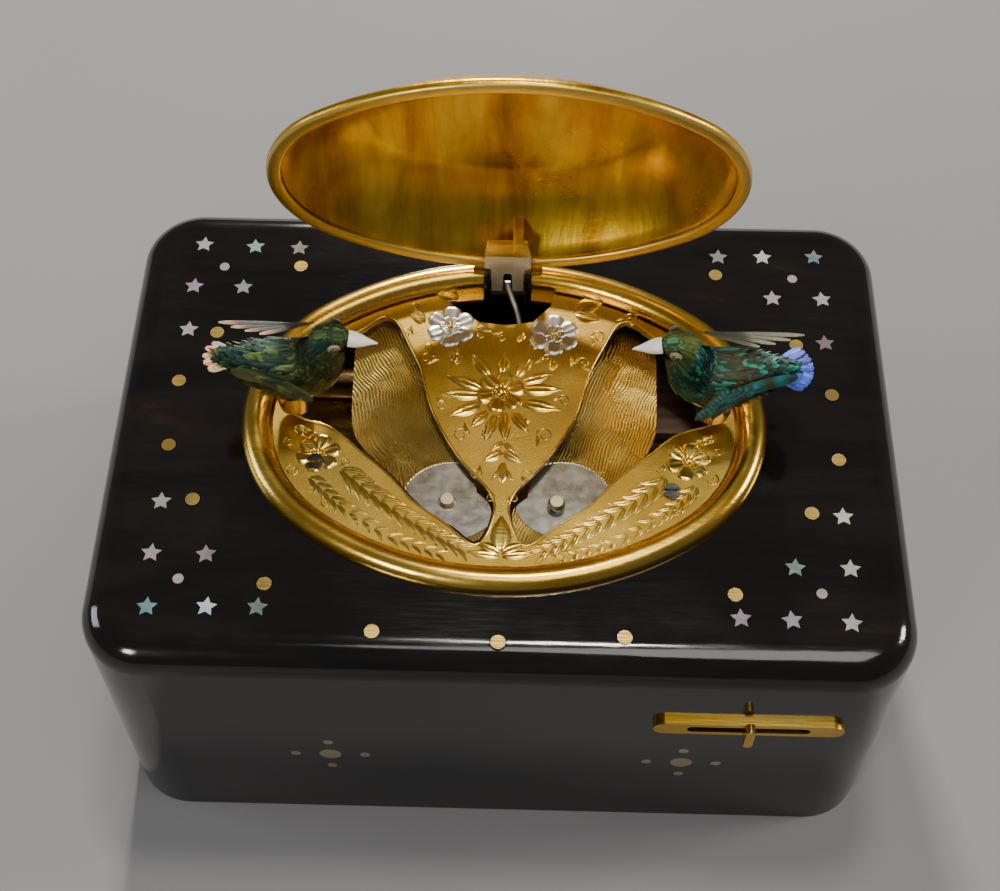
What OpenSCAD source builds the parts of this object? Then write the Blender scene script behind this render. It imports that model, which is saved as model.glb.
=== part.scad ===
// Singing-bird box: a lacquered case with a domed oval lid over a pierced gilt grille.
// Two birds stand on folding perches and lie down under the lid as it closes.
// Origin: centre of the underside. +X to the right, +Y towards the lid hinge, +Z up. Millimetres.

/* [Case] */
// Width of the case from side to side
case_w = 100; // [96:1:108]
// Depth of the case from front to back
case_d = 69; // [67:1:76]
// Height of the case
case_h = 45; // [44:0.5:50]
// Thickness of the upright walls
wall = 2.5; // [2:0.1:3]
// Thickness of the top of the case
top_wall = 2.5; // [2:0.1:2.8]
// Radius of the upright corners
corner_r = 8; // [6:0.5:9]
// Radius of the shoulder round the top
shoulder_r = 4; // [2.5:0.25:5]
// Thickness of the base plate
base_t = 2; // [1.5:0.1:2.5]
// Depth of the inlays
inlay_t = 0.4; // [0.3:0.05:0.6]

/* [Bezel and grille] */
// Outer width of the oval bezel
oval_w = 66.5; // [65.5:0.25:68]
// Outer depth of the oval bezel
oval_d = 49.8; // [49.2:0.2:51]
// Width of the bezel's bead
bead_w = 3.6; // [3.3:0.1:3.7]
// Height of the bead above the case
bead_h = 1.9; // [1.5:0.1:2.2]
// Width of the ledge that carries the grille
ledge_w = 1; // [0.8:0.1:1.4]
// Thickness of the grille
grille_t = 1; // [0.8:0.1:1.2]
// Depth of the grille's face below the top of the case
grille_drop = 0.4; // [0.2:0.1:0.5]
// Thickness of each shutter
shutter_t = 0.7; // [0.5:0.1:0.8]

/* [Lid] */
// Angle to which the lid stands open
lid_open = 80; // [70:1:84]
// Height of the dome inside the lid
lid_rise = 8.6; // [8:0.1:9.5]
// Thickness of the dome
lid_t = 0.8; // [0.6:0.1:1]
// Width of the lid's rim
rim_w = 1.5; // [1.2:0.1:1.8]
// Height of the lid's rim
rim_h = 1.4; // [1:0.1:1.8]
// Gap between the lid and the bezel
lid_gap = 0.25; // [0.2:0.05:0.4]
// Width of the hinge block
hinge_w = 6; // [5:0.25:7]
// Radius of the hinge pin
hinge_pin_r = 0.6; // [0.5:0.05:0.7]

/* [Birds] */
// Distance of each perch from the middle of the case
foot_x = 26.4; // [26:0.1:26.8]
// Distance of the perches behind the middle of the case
foot_y = 1.4; // [1:0.1:1.8]
// Largest radius of a bird's body
body_r = 4.2; // [3.8:0.1:4.3]
// Length of a bird's body
body_l = 15; // [14:0.5:15.5]
// Height of the middle of the body above the case
body_rise = 8.3; // [8:0.1:8.6]
// Radius of a bird's head
head_r = 2.5; // [2.2:0.1:2.6]
// Length of the beak
beak_l = 3.4; // [3:0.1:3.6]
// Thickness of wings and tail
feather_t = 0.5; // [0.4:0.05:0.6]
// Radius of the upright perch wire
perch_r = 0.8; // [0.7:0.05:0.9]

/* [Folding perch] */
// Tilt of the folding axis from upright
fold_tilt = 43.5; // [43:0.5:44]
// Turn of the folding axis seen from above
fold_turn = -54; // [-55:0.5:-53]
// Distance of the folding axis from the middle, measured at its own height
pivot_x = 26.35; // [26.2:0.05:26.5]
// Distance of the folding axis in front of the middle
pivot_y = 3.4; // [3.3:0.05:3.5]
// Depth of that point below the top of the case
pivot_drop = 4; // [3.9:0.05:4.1]
// Radius of the folding pin
fold_pin_r = 1; // [0.8:0.05:1.2]

/* [Start slide] */
// Distance of the start slide to the right of the middle
slide_x = 30.7; // [29:0.1:32]
// Height of the slide above the base
slide_z = 30.9; // [29:0.1:32]
// Length of the slide's track
track_l = 23.3; // [22:0.1:25]
// Height of the track
track_h = 2.8; // [2.6:0.1:3.6]
// Thickness of the track
track_t = 0.75; // [0.5:0.05:1]
// Travel of the slide to each side
slide_travel = 6; // [4:0.5:7]

/* [Movement] */
// Thickness of the two movement plates
plate_t = 1.5; // [1.2:0.1:1.8]
// Clear height between the movement plates
plate_gap = 18.5; // [18:0.1:19]
// Radius of the four pillars
pillar_r = 2.5; // [2:0.1:3]
// Module of the first pair of wheels
first_module = 0.5; // [0.48:0.01:0.5]
// Module of the second pair of wheels
second_module = 0.4; // [0.38:0.01:0.4]
// Running clearance of the arbors
run_gap = 0.05; // [0.03:0.01:0.08]
// Outer radius of the whistle
whistle_r = 3; // [2.8:0.1:3.2]
// Wall of the whistle
whistle_wall = 0.8; // [0.6:0.1:1]

/* [Hidden] */
$fn = 48;
fit = 0.1;
top_z = case_h;

// Oval made of four arcs that meet smoothly, on lines with the slope of a 3-4-5 triangle
half_w = oval_w / 2;
half_d = oval_d / 2;
oval_unit = (half_w - half_d) / 2;
end_x = 3 * oval_unit;
side_y = 4 * oval_unit;
oval_end_r = half_w - end_x;
side_r = half_d + side_y;
meet = atan2(4, 3);
meet_far = [end_x + 60, 80];

// Levels under the bezel
skirt_in = 1.2;
grille_top = top_z - grille_drop;
grille_under = grille_top - grille_t;
ledge_t = 0.6;
ledge_under = grille_under - ledge_t;
grille_in = bead_w + 0.3;
lid_in = bead_w + lid_gap;
lid_under = top_z + 0.3;
hinge_y = half_d - 1.7;
hinge_z = top_z + 1.4;
knuckle_r = 1.25;
knuckle_w = 1.4;
slot_w = 1.6;
dome_run = 12;
dome_start = 0.9;
dome_steps = 10;
dome_slope = 40;
dome_foot = 0.5;
dome_power = 1.8;
dome_points = [
    for (i = [0:dome_steps])
        let (t = i / dome_steps, u = 1 - t)
        [-dome_start - dome_run * t, lid_rise - (lid_rise - dome_foot) * pow(u, dome_power)]
];
dome_lap = 0.3;
tongue_x = 1.1;
tongue_w = 2.8;
tongue_t = 0.7;
tongue_gap = 0.03;
tongue_from = half_d - lid_in - 7;

// Lid lever
lever_t = 1.2;
lever_y = 17;
lever_z = top_z - 8;
lever_tip = [4.5, 7.6];
lever_elbow = [3.7, 3.96];
lever_r = 0.7;

// Outlines of the left aperture, the left shutter and the notch for the lever
aperture = [
    [-18.8, 14.2], [-16.3, 16.2], [-14.4, 15.2], [-13, 12.5], [-11, 8], [-9, 1], [-5.5, -5.5], [-1.5, -10.5],
    [-1, -14], [-3, -18], [-7, -15], [-11, -12], [-14.5, -8], [-18.5, -4.5], [-22, -1.5], [-26, 0],
    [-28.2, 2], [-26.8, 6.2], [-24, 10.2]
];
shutter_pivot = [-6.8, -11];
shutter_outline = [
    [-19.6, 14], [-16.6, 16.4], [-14.4, 16], [-12.4, 13], [-10, 8], [-8, 1], [-4.5, -5.5], [-3.2, -9.5],
    [-4, -13.2], [-7.5, -13.4], [-10.5, -11.2], [-14, -7.2], [-17.5, -3.8], [-19.4, 0], [-19.8, 8]
];
tip_outline = [[-5, -8.6], [-1.6, -11.2], [-1.6, -14], [-3.2, -16.6], [-6, -14.5], [-8.6, -13], [-8.2, -10]];
notch = [[-9.8, 24], [-8, 19.2], [-6, 17], [-3.5, 15.6], [0, 15.2], [3.5, 15.8], [5.8, 18.5], [7.2, 24]];
left_shutter_z = ledge_under - 0.1 - shutter_t;
right_shutter_z = left_shutter_z - 0.3 - shutter_t;

// Bird, in the case's own axes, for the left-hand bird
body_at = [-foot_x + 0.4, foot_y, top_z + body_rise];
breast_at = body_at + [2.4, 0, 0.1];
head_at = body_at + [4.9, 0, 6.5];
neck_at = body_at + [3.2, 0, 2];
body_tilt = 9;
spindle_r = (body_l * body_l / 4 + body_r * body_r) / (2 * body_r);
beak_r = 1.15;
beak_dip = 12;
beak_at = head_at + [head_r + 0.1, 0, -0.2];
eye_r = 0.7;
eye_at = [0.7, 1.9, 0.5];
wing_root = body_at + [0.2, 3.9, 2.7];
wing_slope = 30;
tail_root = body_at + [-6.9, 0, 2];
tail_slope = 10;
collar_z = top_z + 1.1;
collar_h = 3.6;
collar_r = 2.2;
perch_foot = top_z - 3.5;
pin_gap = 0.06;
turn_pin_r = 0.55;
pivot_at = [-pivot_x, -pivot_y, top_z - pivot_drop];

// Movement levels
lower_plate_z = base_t + 2;
upper_plate_z = lower_plate_z + plate_t + plate_gap;
deck_z = upper_plate_z + plate_t;
cavity_w = case_w - 2 * wall;
cavity_d = case_d - 2 * wall;
plate_w = cavity_w - 6;
plate_d = cavity_d - 6;
pillar_x = plate_w / 2 - 7;
pillar_y = plate_d / 2 - 5;
great_teeth = 48;
great_pinion_teeth = 12;
cam_teeth = 40;
fly_teeth = 10;
barrel_at = [-20, 0];
cam_at = barrel_at + [first_module * (great_teeth + great_pinion_teeth) / 2, 0];
fly_at = cam_at + [second_module * (cam_teeth + fly_teeth) / 2, 0];
arbor_r = 1.5;
thin_arbor_r = 0.8;
great_z = lower_plate_z + plate_t + 9;
cam_wheel_z = great_z + 3.6;
barrel_r = first_module * great_teeth / 2 - 1.8;
drum_z = lower_plate_z + plate_t + 1.6;
ratchet_teeth = 20;
ratchet_r = 4;
key_square = 2.4;
key_hole_r = 3;
boss_r = 3.8;
boss_in = 3.6;
boss_at = [cavity_w / 2 - boss_in, cavity_d / 2 - boss_in];
screw_r = 1;
screw_head_r = 1.8;
bellows_at = [22.5, plate_d / 2 - 15];
bellows_size = [26, 15];
board_t = 1.4;
leather_h = 4;
whistle_at = [-28, plate_d / 2 - 12];
whistle_l = 27;
piston_l = 14;

// Inlays of the top and of the front and back panels
star_spots = [
    [41.5, 27.5], [34.5, 27.3], [28.5, 27.2], [42, 20.3], [35.4, 20.3], [41.8, 13.1]
];
gold_spots = [[28, 24.1], [38, 12.7], [42, 4.9], [14.8, 30]];
gold_middle = [0, 31];
pearl_spot = [38.3, 23.7];
star_r = 1.5;
gold_disc_r = 1.02;
pearl_r = 0.75;
panel_x = [-21.35, 23.65];
panel_z = 18.4;
panel_big_r = 1.4;
panel_small_r = 0.65;
panel_reach = [4.45, 3.8];

// Small parts of the grille, the shutters and the birds
arc_steps = 16;
bead_steps = 8;
grille_screw_spots = [[-23.4, -6.8], [21, -9.9]];
rosette_spots = [[-7.4, 14], [7.4, 14]];
post_r = 0.7;
rivet_r = 1.1;
bearing_from = -8.6;
bearing_to = -5;
elbow_r = 0.9;
wing_shape = [[4, 0.2], [3, 2.1], [0, 3.5], [-5, 3.8], [-10.6, 3.1], [-10, 2.2], [-5, 0.8], [-3, 0.1]];
tail_shape = [[-0.3, 1.2], [-2, 1.6], [-4.5, 2.4], [-4.9, 1.3], [-5.1, 0], [-4.9, -1.3], [-4.5, -2.4],
              [-2, -1.6], [-0.3, -1.2]];

bellows_gap = 0.3;
bellows_hinge = [bellows_at.x - bellows_size.x / 2 - 1, deck_z + board_t + leather_h + bellows_gap];

// Blade of the start slide
blade_w = 1.1;
blade_h = 4.6;
blade_t = 1.15;

// ---------- shared shapes ----------

// Closed smooth curve through a few points
function smooth(p, n = 4) = [
    for (i = [0:len(p) - 1], k = [0:n - 1])
        let (
            a = p[(i + len(p) - 1) % len(p)], b = p[i],
            c = p[(i + 1) % len(p)], d = p[(i + 2) % len(p)], t = k / n
        )
        0.5 * (2 * b + (c - a) * t + (2 * a - 5 * b + 4 * c - d) * t * t
               + (3 * b - a - 3 * c + d) * t * t * t)
];

function star_points(r, n = 5, waist = 0.42) = [
    for (i = [0:2 * n - 1])
        let (k = i % 2 == 0 ? r : r * waist)
        k * [sin(180 * i / n), cos(180 * i / n)]
];

module mirrored() {
    children();
    mirror([1, 0, 0]) children();
}

module four_ways(p) {
    for (sx = [-1, 1], sy = [-1, 1])
        translate([sx * p.x, sy * p.y, 0]) children();
}

// Straight rod between two points
module rod(p, q, r, r_end = undef) {
    v = q - p;
    l = norm(v);
    translate(p)
        rotate([0, acos(v.z / l), atan2(v.y, v.x)])
            cylinder(h = l, r1 = r, r2 = is_undef(r_end) ? r : r_end);
}

module rounded_rect(w, d, r) {
    square([w - 2 * r, d], center = true);
    square([w, d - 2 * r], center = true);
    four_ways([w / 2 - r, d / 2 - r]) circle(r);
}

// Block with upright rounded corners and a rounded shoulder round its top
module shoulder_block(w, d, h, r, s) {
    linear_extrude(h - s) rounded_rect(w, d, r);
    linear_extrude(h) rounded_rect(w - 2 * s, d - 2 * s, r - s);
    four_ways([w / 2 - r, d / 2 - r]) translate([0, 0, h - s])
        rotate_extrude() intersection() {
            translate([r - s, 0]) circle(s);
            square([r, s]);
        }
    for (side = [-1, 1]) {
        translate([0, side * (d / 2 - s), h - s])
            rotate([0, 90, 0]) cylinder(h = w - 2 * r, r = s, center = true);
        translate([side * (w / 2 - s), 0, h - s])
            rotate([90, 0, 0]) cylinder(h = d - 2 * r, r = s, center = true);
    }
}

// Points of a flat oval, inset from the bezel's outer edge
function arc(centre, r, from, to) = [
    for (i = [0:arc_steps - 1])
        let (a = from + (to - from) * i / arc_steps)
        centre + r * [cos(a), sin(a)]
];
function oval_points(inset) = concat(
    arc([end_x, 0], oval_end_r - inset, -meet, meet),
    arc([0, -side_y], side_r - inset, meet, 180 - meet),
    arc([-end_x, 0], oval_end_r - inset, 180 - meet, 180 + meet),
    arc([0, side_y], side_r - inset, 180 + meet, 360 - meet)
);

module oval(inset) polygon(oval_points(inset));

// Sweep of a profile round the oval; the profile's x = 0 lies on the bezel's outer edge
module oval_sweep() {
    for (s = [-1, 1]) {
        intersection() {
            translate([s * end_x, 0, 0]) rotate_extrude() translate([oval_end_r, 0]) children();
            wedge([s * end_x, 0], [s * meet_far.x, meet_far.y], [s * meet_far.x, -meet_far.y]);
        }
        intersection() {
            translate([0, -s * side_y, 0]) rotate_extrude() translate([side_r, 0]) children();
            wedge([0, -s * side_y], [meet_far.x, s * meet_far.y], [-meet_far.x, s * meet_far.y]);
        }
    }
}

module wedge(a, b, c) {
    linear_extrude(2 * case_h) polygon([a, b, c]);
}

// Wheel with straight-flanked teeth and generous backlash
module toothed(teeth, size) {
    pitch = teeth * size / 2;
    step = 360 / teeth;
    root = pitch - 1.25 * size;
    tip = pitch + 0.85 * size;
    circle(root + 0.01);
    for (i = [0:teeth - 1]) rotate(i * step)
        polygon([
            for (e = [[root - 0.05, -0.26], [pitch, -0.2], [tip, -0.08], [tip, 0.08], [pitch, 0.2],
                      [root - 0.05, 0.26]])
                e[0] * [cos(e[1] * step), sin(e[1] * step)]
        ]);
}

module at_lid() {
    translate([0, hinge_y, hinge_z]) rotate([-lid_open, 0, 0]) translate([0, -hinge_y, -hinge_z])
        children();
}

// ---------- case ----------

module case_outside() {
    shoulder_block(case_w, case_d, case_h, corner_r, shoulder_r);
}

module top_inlay(depth = inlay_t) {
    intersection() {
        case_outside();
        translate([0, 0, top_z - depth]) linear_extrude(depth + 1) children();
    }
}

module star_shapes() for (p = star_spots) four_ways(p) polygon(star_points(star_r));

module gold_shapes() {
    for (p = gold_spots) four_ways(p) circle(gold_disc_r);
    for (side = [-1, 1]) translate([0, side * gold_middle.y]) circle(gold_disc_r);
}

module pearl_shapes() four_ways(pearl_spot) circle(pearl_r);

// Two clusters of five discs let into the front and the back
module panel_shapes(depth) {
    for (side = [-1, 1], x = panel_x)
        translate([x, side * case_d / 2, panel_z]) rotate([90, 0, 0]) {
            cylinder(h = 2 * depth, r = panel_big_r, center = true);
            for (s = [-1, 1]) {
                translate([s * panel_reach.x, 0, 0])
                    cylinder(h = 2 * depth, r = panel_small_r, center = true);
                translate([0, s * panel_reach.y, 0])
                    cylinder(h = 2 * depth, r = panel_small_r, center = true);
            }
        }
}

module case_shell() {
    color([0.09, 0.06, 0.05]) {
        difference() {
            case_outside();
            translate([0, 0, -1])
                linear_extrude(case_h - top_wall + 1) rounded_rect(cavity_w, cavity_d, corner_r - wall);
            translate([0, 0, case_h - top_wall - 1]) linear_extrude(top_wall + 2) oval(skirt_in - fit);
            translate([0, hinge_y, top_z]) cube([hinge_w + 0.4, 5.2, 12], center = true);
            translate([0, 0, top_z - inlay_t]) linear_extrude(1) {
                star_shapes();
                gold_shapes();
                pearl_shapes();
            }
            panel_shapes(inlay_t);
            translate([slide_x, -case_d / 2, slide_z]) rotate([90, 0, 0])
                linear_extrude(4 * wall, center = true) slot(2 * slide_travel + 3, 1.4);
        }
        difference() {
            four_ways(boss_at) translate([0, 0, base_t]) cylinder(h = 10, r = boss_r);
            four_ways(boss_at) cylinder(h = 9, r = screw_r + fit);
        }
    }
}

module slot(l, h) {
    square([l - h, h], center = true);
    for (s = [-1, 1]) translate([s * (l - h) / 2, 0]) circle(h / 2);
}

module base_plate() {
    color([0.1, 0.09, 0.08]) difference() {
        union() {
            linear_extrude(base_t)
                rounded_rect(cavity_w - 2 * fit, cavity_d - 2 * fit, corner_r - wall - fit);
            four_ways([pillar_x, pillar_y]) cylinder(h = lower_plate_z, r = pillar_r + 1);
        }
        translate([barrel_at.x, barrel_at.y, -1]) cylinder(h = lower_plate_z + 2, r = key_hole_r);
        four_ways(boss_at) {
            translate([0, 0, -1]) cylinder(h = base_t + 2, r = screw_r + fit);
            translate([0, 0, -1]) cylinder(h = 1 + 1.1, r = screw_head_r + fit);
        }
        four_ways([pillar_x, pillar_y]) {
            translate([0, 0, -1]) cylinder(h = lower_plate_z + 2, r = screw_r + fit);
            translate([0, 0, -1]) cylinder(h = 1 + 1.1, r = screw_head_r + fit);
        }
    }
}

// Slotted screw that points up, with the face of its head at z = 0
module slotted_screw(l, head_r = screw_head_r, head_h = 1, r = screw_r) {
    difference() {
        union() {
            cylinder(h = head_h, r = head_r);
            cylinder(h = l, r = r);
        }
        cube([3 * head_r, 0.4, 0.8], center = true);
    }
}

module base_screws() {
    color("silver") four_ways(boss_at) translate([0, 0, 0.05]) slotted_screw(8);
}

module star_inlays() { color([0.85, 0.8, 0.85]) top_inlay() star_shapes(); }
module gold_disc_inlays() { color("gold") top_inlay() gold_shapes(); }
module pearl_dot_inlays() { color([0.8, 0.85, 0.9]) top_inlay() pearl_shapes(); }

module panel_disc_inlays() {
    color("gold") intersection() {
        panel_shapes(inlay_t);
        translate([0, 0, case_h / 2]) cube([case_w, case_d, case_h], center = true);
    }
}

// ---------- bezel, grille and shutters ----------

// Section of the bezel, from the foot of its skirt over the round bead to the ledge
bezel_section = concat(
    [[-skirt_in, ledge_under], [-skirt_in, top_z]],
    [for (i = [0:bead_steps])
        let (a = 180 * i / bead_steps)
        [-bead_w / 2 + bead_w / 2 * cos(a), top_z + bead_h * sin(a)]],
    [[-bead_w, grille_under], [-bead_w - ledge_w, grille_under], [-bead_w - ledge_w, ledge_under]]
);

module bezel() {
    color([0.85, 0.65, 0.25]) difference() {
        oval_sweep() polygon(bezel_section);
        translate([0, hinge_y, top_z]) cube([hinge_w + 0.4, 8, 12], center = true);
        translate([0, hinge_y, top_z + 2])
            cube([hinge_w + 2 * knuckle_w + 0.8, 8, 4], center = true);
    }
}

module grille() {
    color([0.8, 0.65, 0.3]) difference() {
        translate([0, 0, grille_under]) linear_extrude(grille_t) difference() {
            oval(grille_in);
            mirrored() polygon(smooth(aperture));
            polygon(notch);
        }
        for (p = grille_screw_spots) translate([p.x, p.y, grille_under - 1])
            cylinder(h = grille_t + 2, r = 0.6 + fit);
        for (p = rosette_spots) translate([p.x, p.y, grille_top - 0.3]) cylinder(h = 1, r = 1.3);
    }
}

module grille_screws() {
    color("silver") for (p = grille_screw_spots) translate([p.x, p.y, grille_top + 0.35]) mirror([0, 0, 1])
        slotted_screw(grille_t + 0.35, 1.1, 0.35, 0.6);
}

module rosettes() {
    color("silver") for (p = rosette_spots) translate([p.x, p.y, grille_top - 0.3])
        linear_extrude(0.5) intersection() {
            circle(1.25);
            polygon(star_points(1.5, 8, 0.75));
        }
}

module shutter(z) {
    color([0.8, 0.6, 0.25]) translate([0, 0, z]) linear_extrude(shutter_t) difference() {
        union() {
            polygon(smooth(shutter_outline));
            polygon(smooth(tip_outline));
        }
        translate(shutter_pivot) circle(post_r + run_gap);
    }
}

module left_shutter() shutter(left_shutter_z);
module right_shutter() mirror([1, 0, 0]) shutter(right_shutter_z);

module shutter_posts() {
    color("silver") mirrored() translate([shutter_pivot.x, shutter_pivot.y, 0]) {
        translate([0, 0, deck_z]) cylinder(h = right_shutter_z - 0.1 - deck_z, r = 1.4);
        translate([0, 0, deck_z]) cylinder(h = left_shutter_z + shutter_t + 0.4 - deck_z, r = post_r);
    }
}

module shutter_rivets() {
    color("gold") mirrored() translate([shutter_pivot.x, shutter_pivot.y, left_shutter_z + shutter_t + 0.1])
        difference() {
            cylinder(h = 0.6, r1 = rivet_r, r2 = rivet_r - 0.3);
            translate([0, 0, -1]) cylinder(h = 1.3, r = post_r);
        }
}

// ---------- hinge and lid ----------

module hinge_block() {
    foot_z = lever_z - 2.2;
    color("silver") difference() {
        union() {
            translate([-hinge_w / 2, hinge_y - 1.3, ledge_under])
                cube([hinge_w, 3.6, hinge_z + 1.3 - ledge_under]);
            translate([-hinge_w / 2, lever_y - 2.2, foot_z])
                cube([hinge_w, hinge_y + 1.2 - lever_y, left_shutter_z - 2 - foot_z]);
            translate([-hinge_w / 2, hinge_y - 1.7, foot_z]) cube([hinge_w, 2.7, ledge_under - foot_z + 1]);
            translate([-hinge_w / 2, lever_y - 2.2, deck_z]) cube([hinge_w, 4.4, foot_z - deck_z + 1]);
        }
        translate([-slot_w / 2, lever_y - 4, lever_z - 2]) cube([slot_w, 14, 20]);
        translate([0, hinge_y, hinge_z]) rotate([0, 90, 0]) cylinder(h = 30, r = hinge_pin_r, center = true);
        translate([0, lever_y, lever_z]) rotate([0, 90, 0]) cylinder(h = 4, r = 0.8, center = true);
    }
}

module hinge_pin() {
    color("silver") translate([0, hinge_y, hinge_z]) rotate([0, 90, 0])
        cylinder(h = hinge_w + 2 * knuckle_w + 0.4, r = hinge_pin_r, center = true);
}

module lid_lever() {
    pivot = [lever_y, lever_z];
    elbow = pivot + lever_elbow;
    color("silver") {
        rod_yz(pivot, elbow, lever_r + 0.2);
        rod_yz(elbow, pivot + lever_tip, lever_r);
        translate([0, lever_y, lever_z]) rotate([0, 90, 0]) {
            cylinder(h = lever_t, r = 1.5, center = true);
            cylinder(h = 3.8, r = 0.8 - run_gap, center = true);
        }
    }
}

// Flat bar with round ends in the plane x = 0
module rod_yz(p, q, r) {
    v = q - p;
    translate([0, p.x, p.y]) rotate([atan2(v.y, v.x), 0, 0]) {
        translate([-lever_t / 2, 0, -r]) cube([lever_t, norm(v), 2 * r]);
        rotate([0, 90, 0]) cylinder(h = lever_t, r = r, center = true);
        translate([0, norm(v), 0]) rotate([0, 90, 0]) cylinder(h = lever_t, r = r, center = true);
    }
}

// Curve of the dome, from the rim to the flat middle, moved inwards by inset
function dome_curve(inset) = [
    for (i = [0:dome_steps])
        let (
            t = i / dome_steps,
            a = dome_slope * (1 - t * t * t * t),
            p = dome_points[i]
        )
        p + inset * [-sin(a), -cos(a)]
];
function backwards(p) = [for (i = [len(p) - 1:-1:0]) p[i]];

// Section of the lid: the rim and a quarter of the dome; x = 0 is the lid's outer edge
module lid_section() {
    translate([-rim_w, 0]) square([rim_w, rim_h]);
    polygon(concat(dome_curve(-lid_t), backwards(dome_curve(0))));
}

module lid() {
    color([0.85, 0.65, 0.25]) at_lid() translate([0, 0, lid_under]) {
        oval_sweep() translate([-lid_in, 0]) lid_section();
        translate([0, 0, lid_rise]) linear_extrude(lid_t) oval(lid_in + dome_start + dome_run - dome_lap);
    }
}

module lid_lug() {
    color([0.9, 0.7, 0.3]) at_lid() {
        difference() {
            union() {
                mirrored() translate([hinge_w / 2 + 0.15, hinge_y, hinge_z]) rotate([0, 90, 0])
                    cylinder(h = knuckle_w, r = knuckle_r);
                mirrored() translate([hinge_w / 2 + 0.15, half_d - lid_in, hinge_z - 0.8])
                    cube([knuckle_w, hinge_y - half_d + lid_in, 1.6]);
            }
            translate([0, hinge_y, hinge_z]) rotate([0, 90, 0])
                cylinder(h = 30, r = hinge_pin_r + run_gap, center = true);
            translate([0, 0, lid_under]) linear_extrude(rim_h + 2) oval(lid_in - 0.01);
        }
        intersection() {
            translate([0, -side_y, lid_under]) rotate_extrude() translate([side_r - lid_in, 0])
                polygon(concat(dome_curve(tongue_gap), backwards(dome_curve(tongue_t))));
            translate([tongue_x - tongue_w / 2, tongue_from, lid_under + rim_h])
                cube([tongue_w, half_d - tongue_from, lid_rise]);
        }
    }
}

// ---------- case front ----------

module front_plate(depth) translate([slide_x, -case_d / 2, slide_z]) rotate([90, 0, 0])
    linear_extrude(depth) children();

module slide_track() {
    color([0.85, 0.65, 0.25]) difference() {
        front_plate(track_t) slot(track_l, track_h);
        translate([0, 1, 0]) front_plate(track_t + 2) slot(2 * slide_travel + 3, 1.4);
    }
}

module start_slide() {
    front_y = case_d / 2 + track_t + fit;
    color([0.85, 0.65, 0.25]) {
        translate([slide_x, -front_y, slide_z]) rotate([90, 0, 0]) linear_extrude(blade_t)
            rotate(90) slot(blade_h, blade_w);
        translate([slide_x - 0.5, -front_y - 0.2, slide_z - 0.6])
            cube([1, track_t + wall + 2 * fit + 0.4, 1.2]);
        translate([slide_x - 3, -case_d / 2 + wall + fit, slide_z - 2]) cube([6, 0.9, 4]);
    }
}

// ---------- movement ----------

module arbor_holes(z) {
    for (p = [barrel_at, cam_at, fly_at]) translate([p.x, p.y, z - 1])
        cylinder(h = plate_t + 2, r = (p == barrel_at ? arbor_r : thin_arbor_r) + run_gap);
}

module plate(z) {
    difference() {
        translate([0, 0, z]) linear_extrude(plate_t) rounded_rect(plate_w, plate_d, 6);
        arbor_holes(z);
        translate([0, 0, z - 1]) {
            four_ways([pillar_x, pillar_y]) cylinder(h = plate_t + 2, r = screw_r + fit);
            four_ways(boss_at) cylinder(h = plate_t + 2, r = boss_r + 0.3);
        }
    }
}

module main_plate() { color([0.75, 0.6, 0.3]) plate(lower_plate_z); }
module top_plate() { color([0.75, 0.6, 0.3]) plate(upper_plate_z); }

module pillars() {
    z = lower_plate_z + plate_t;
    color([0.75, 0.6, 0.3]) four_ways([pillar_x, pillar_y]) difference() {
        translate([0, 0, z]) cylinder(h = plate_gap, r = pillar_r);
        translate([0, 0, z - 1]) cylinder(h = 6, r = screw_r + fit);
        translate([0, 0, z + plate_gap - 5]) cylinder(h = 6, r = screw_r + fit);
    }
}

module movement_screws() {
    color("silver") four_ways([pillar_x, pillar_y]) {
        translate([0, 0, 0.05]) slotted_screw(lower_plate_z + plate_t + 4);
        translate([0, 0, deck_z + 1]) mirror([0, 0, 1]) slotted_screw(plate_t + 5);
    }
}

module spring_barrel() {
    drum_h = great_z - drum_z;
    color([0.8, 0.65, 0.3]) translate([barrel_at.x, barrel_at.y, 0]) difference() {
        union() {
            translate([0, 0, drum_z]) cylinder(h = drum_h, r = barrel_r);
            translate([0, 0, great_z]) linear_extrude(1.5) toothed(great_teeth, first_module);
        }
        translate([0, 0, drum_z + 0.8]) cylinder(h = drum_h - 0.8, r = barrel_r - 0.8);
        translate([0, 0, drum_z - 1]) cylinder(h = 20, r = arbor_r + run_gap);
    }
}

module mainspring() {
    color("steelblue") translate([barrel_at.x, barrel_at.y, drum_z + 1]) difference() {
        cylinder(h = great_z - drum_z - 1.2, r = barrel_r - 0.9);
        translate([0, 0, -1]) cylinder(h = 20, r = arbor_r + 1.6);
    }
}

module winding_arbor() {
    color("silver") translate([barrel_at.x, barrel_at.y, 0]) {
        translate([0, 0, lower_plate_z - 0.2]) cylinder(h = deck_z - lower_plate_z + 1.5, r = arbor_r);
        translate([-key_square / 2, -key_square / 2, 1.1])
            cube([key_square, key_square, lower_plate_z - 1.2]);
    }
}

module ratchet_wheel() {
    color("silver") translate([barrel_at.x, barrel_at.y, deck_z + 0.1]) linear_extrude(1) difference() {
        polygon([
            for (i = [0:ratchet_teeth - 1], tooth = [0, 1])
                let (a = 360 * (i + 0.85 * tooth) / ratchet_teeth, r = ratchet_r - 0.7 * (1 - tooth))
                [r * cos(a), r * sin(a)]
        ]);
        circle(arbor_r);
    }
}

module click() {
    color("silver") translate([barrel_at.x - ratchet_r - 4.5, barrel_at.y - 3, deck_z]) {
        cylinder(h = 1.6, r = 1);
        translate([0, 0, 0.1]) linear_extrude(1)
            polygon([[-1, 0], [0, 1.2], [4.1, 3.2], [4.1, 2.2], [1, 0]]);
    }
}

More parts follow.
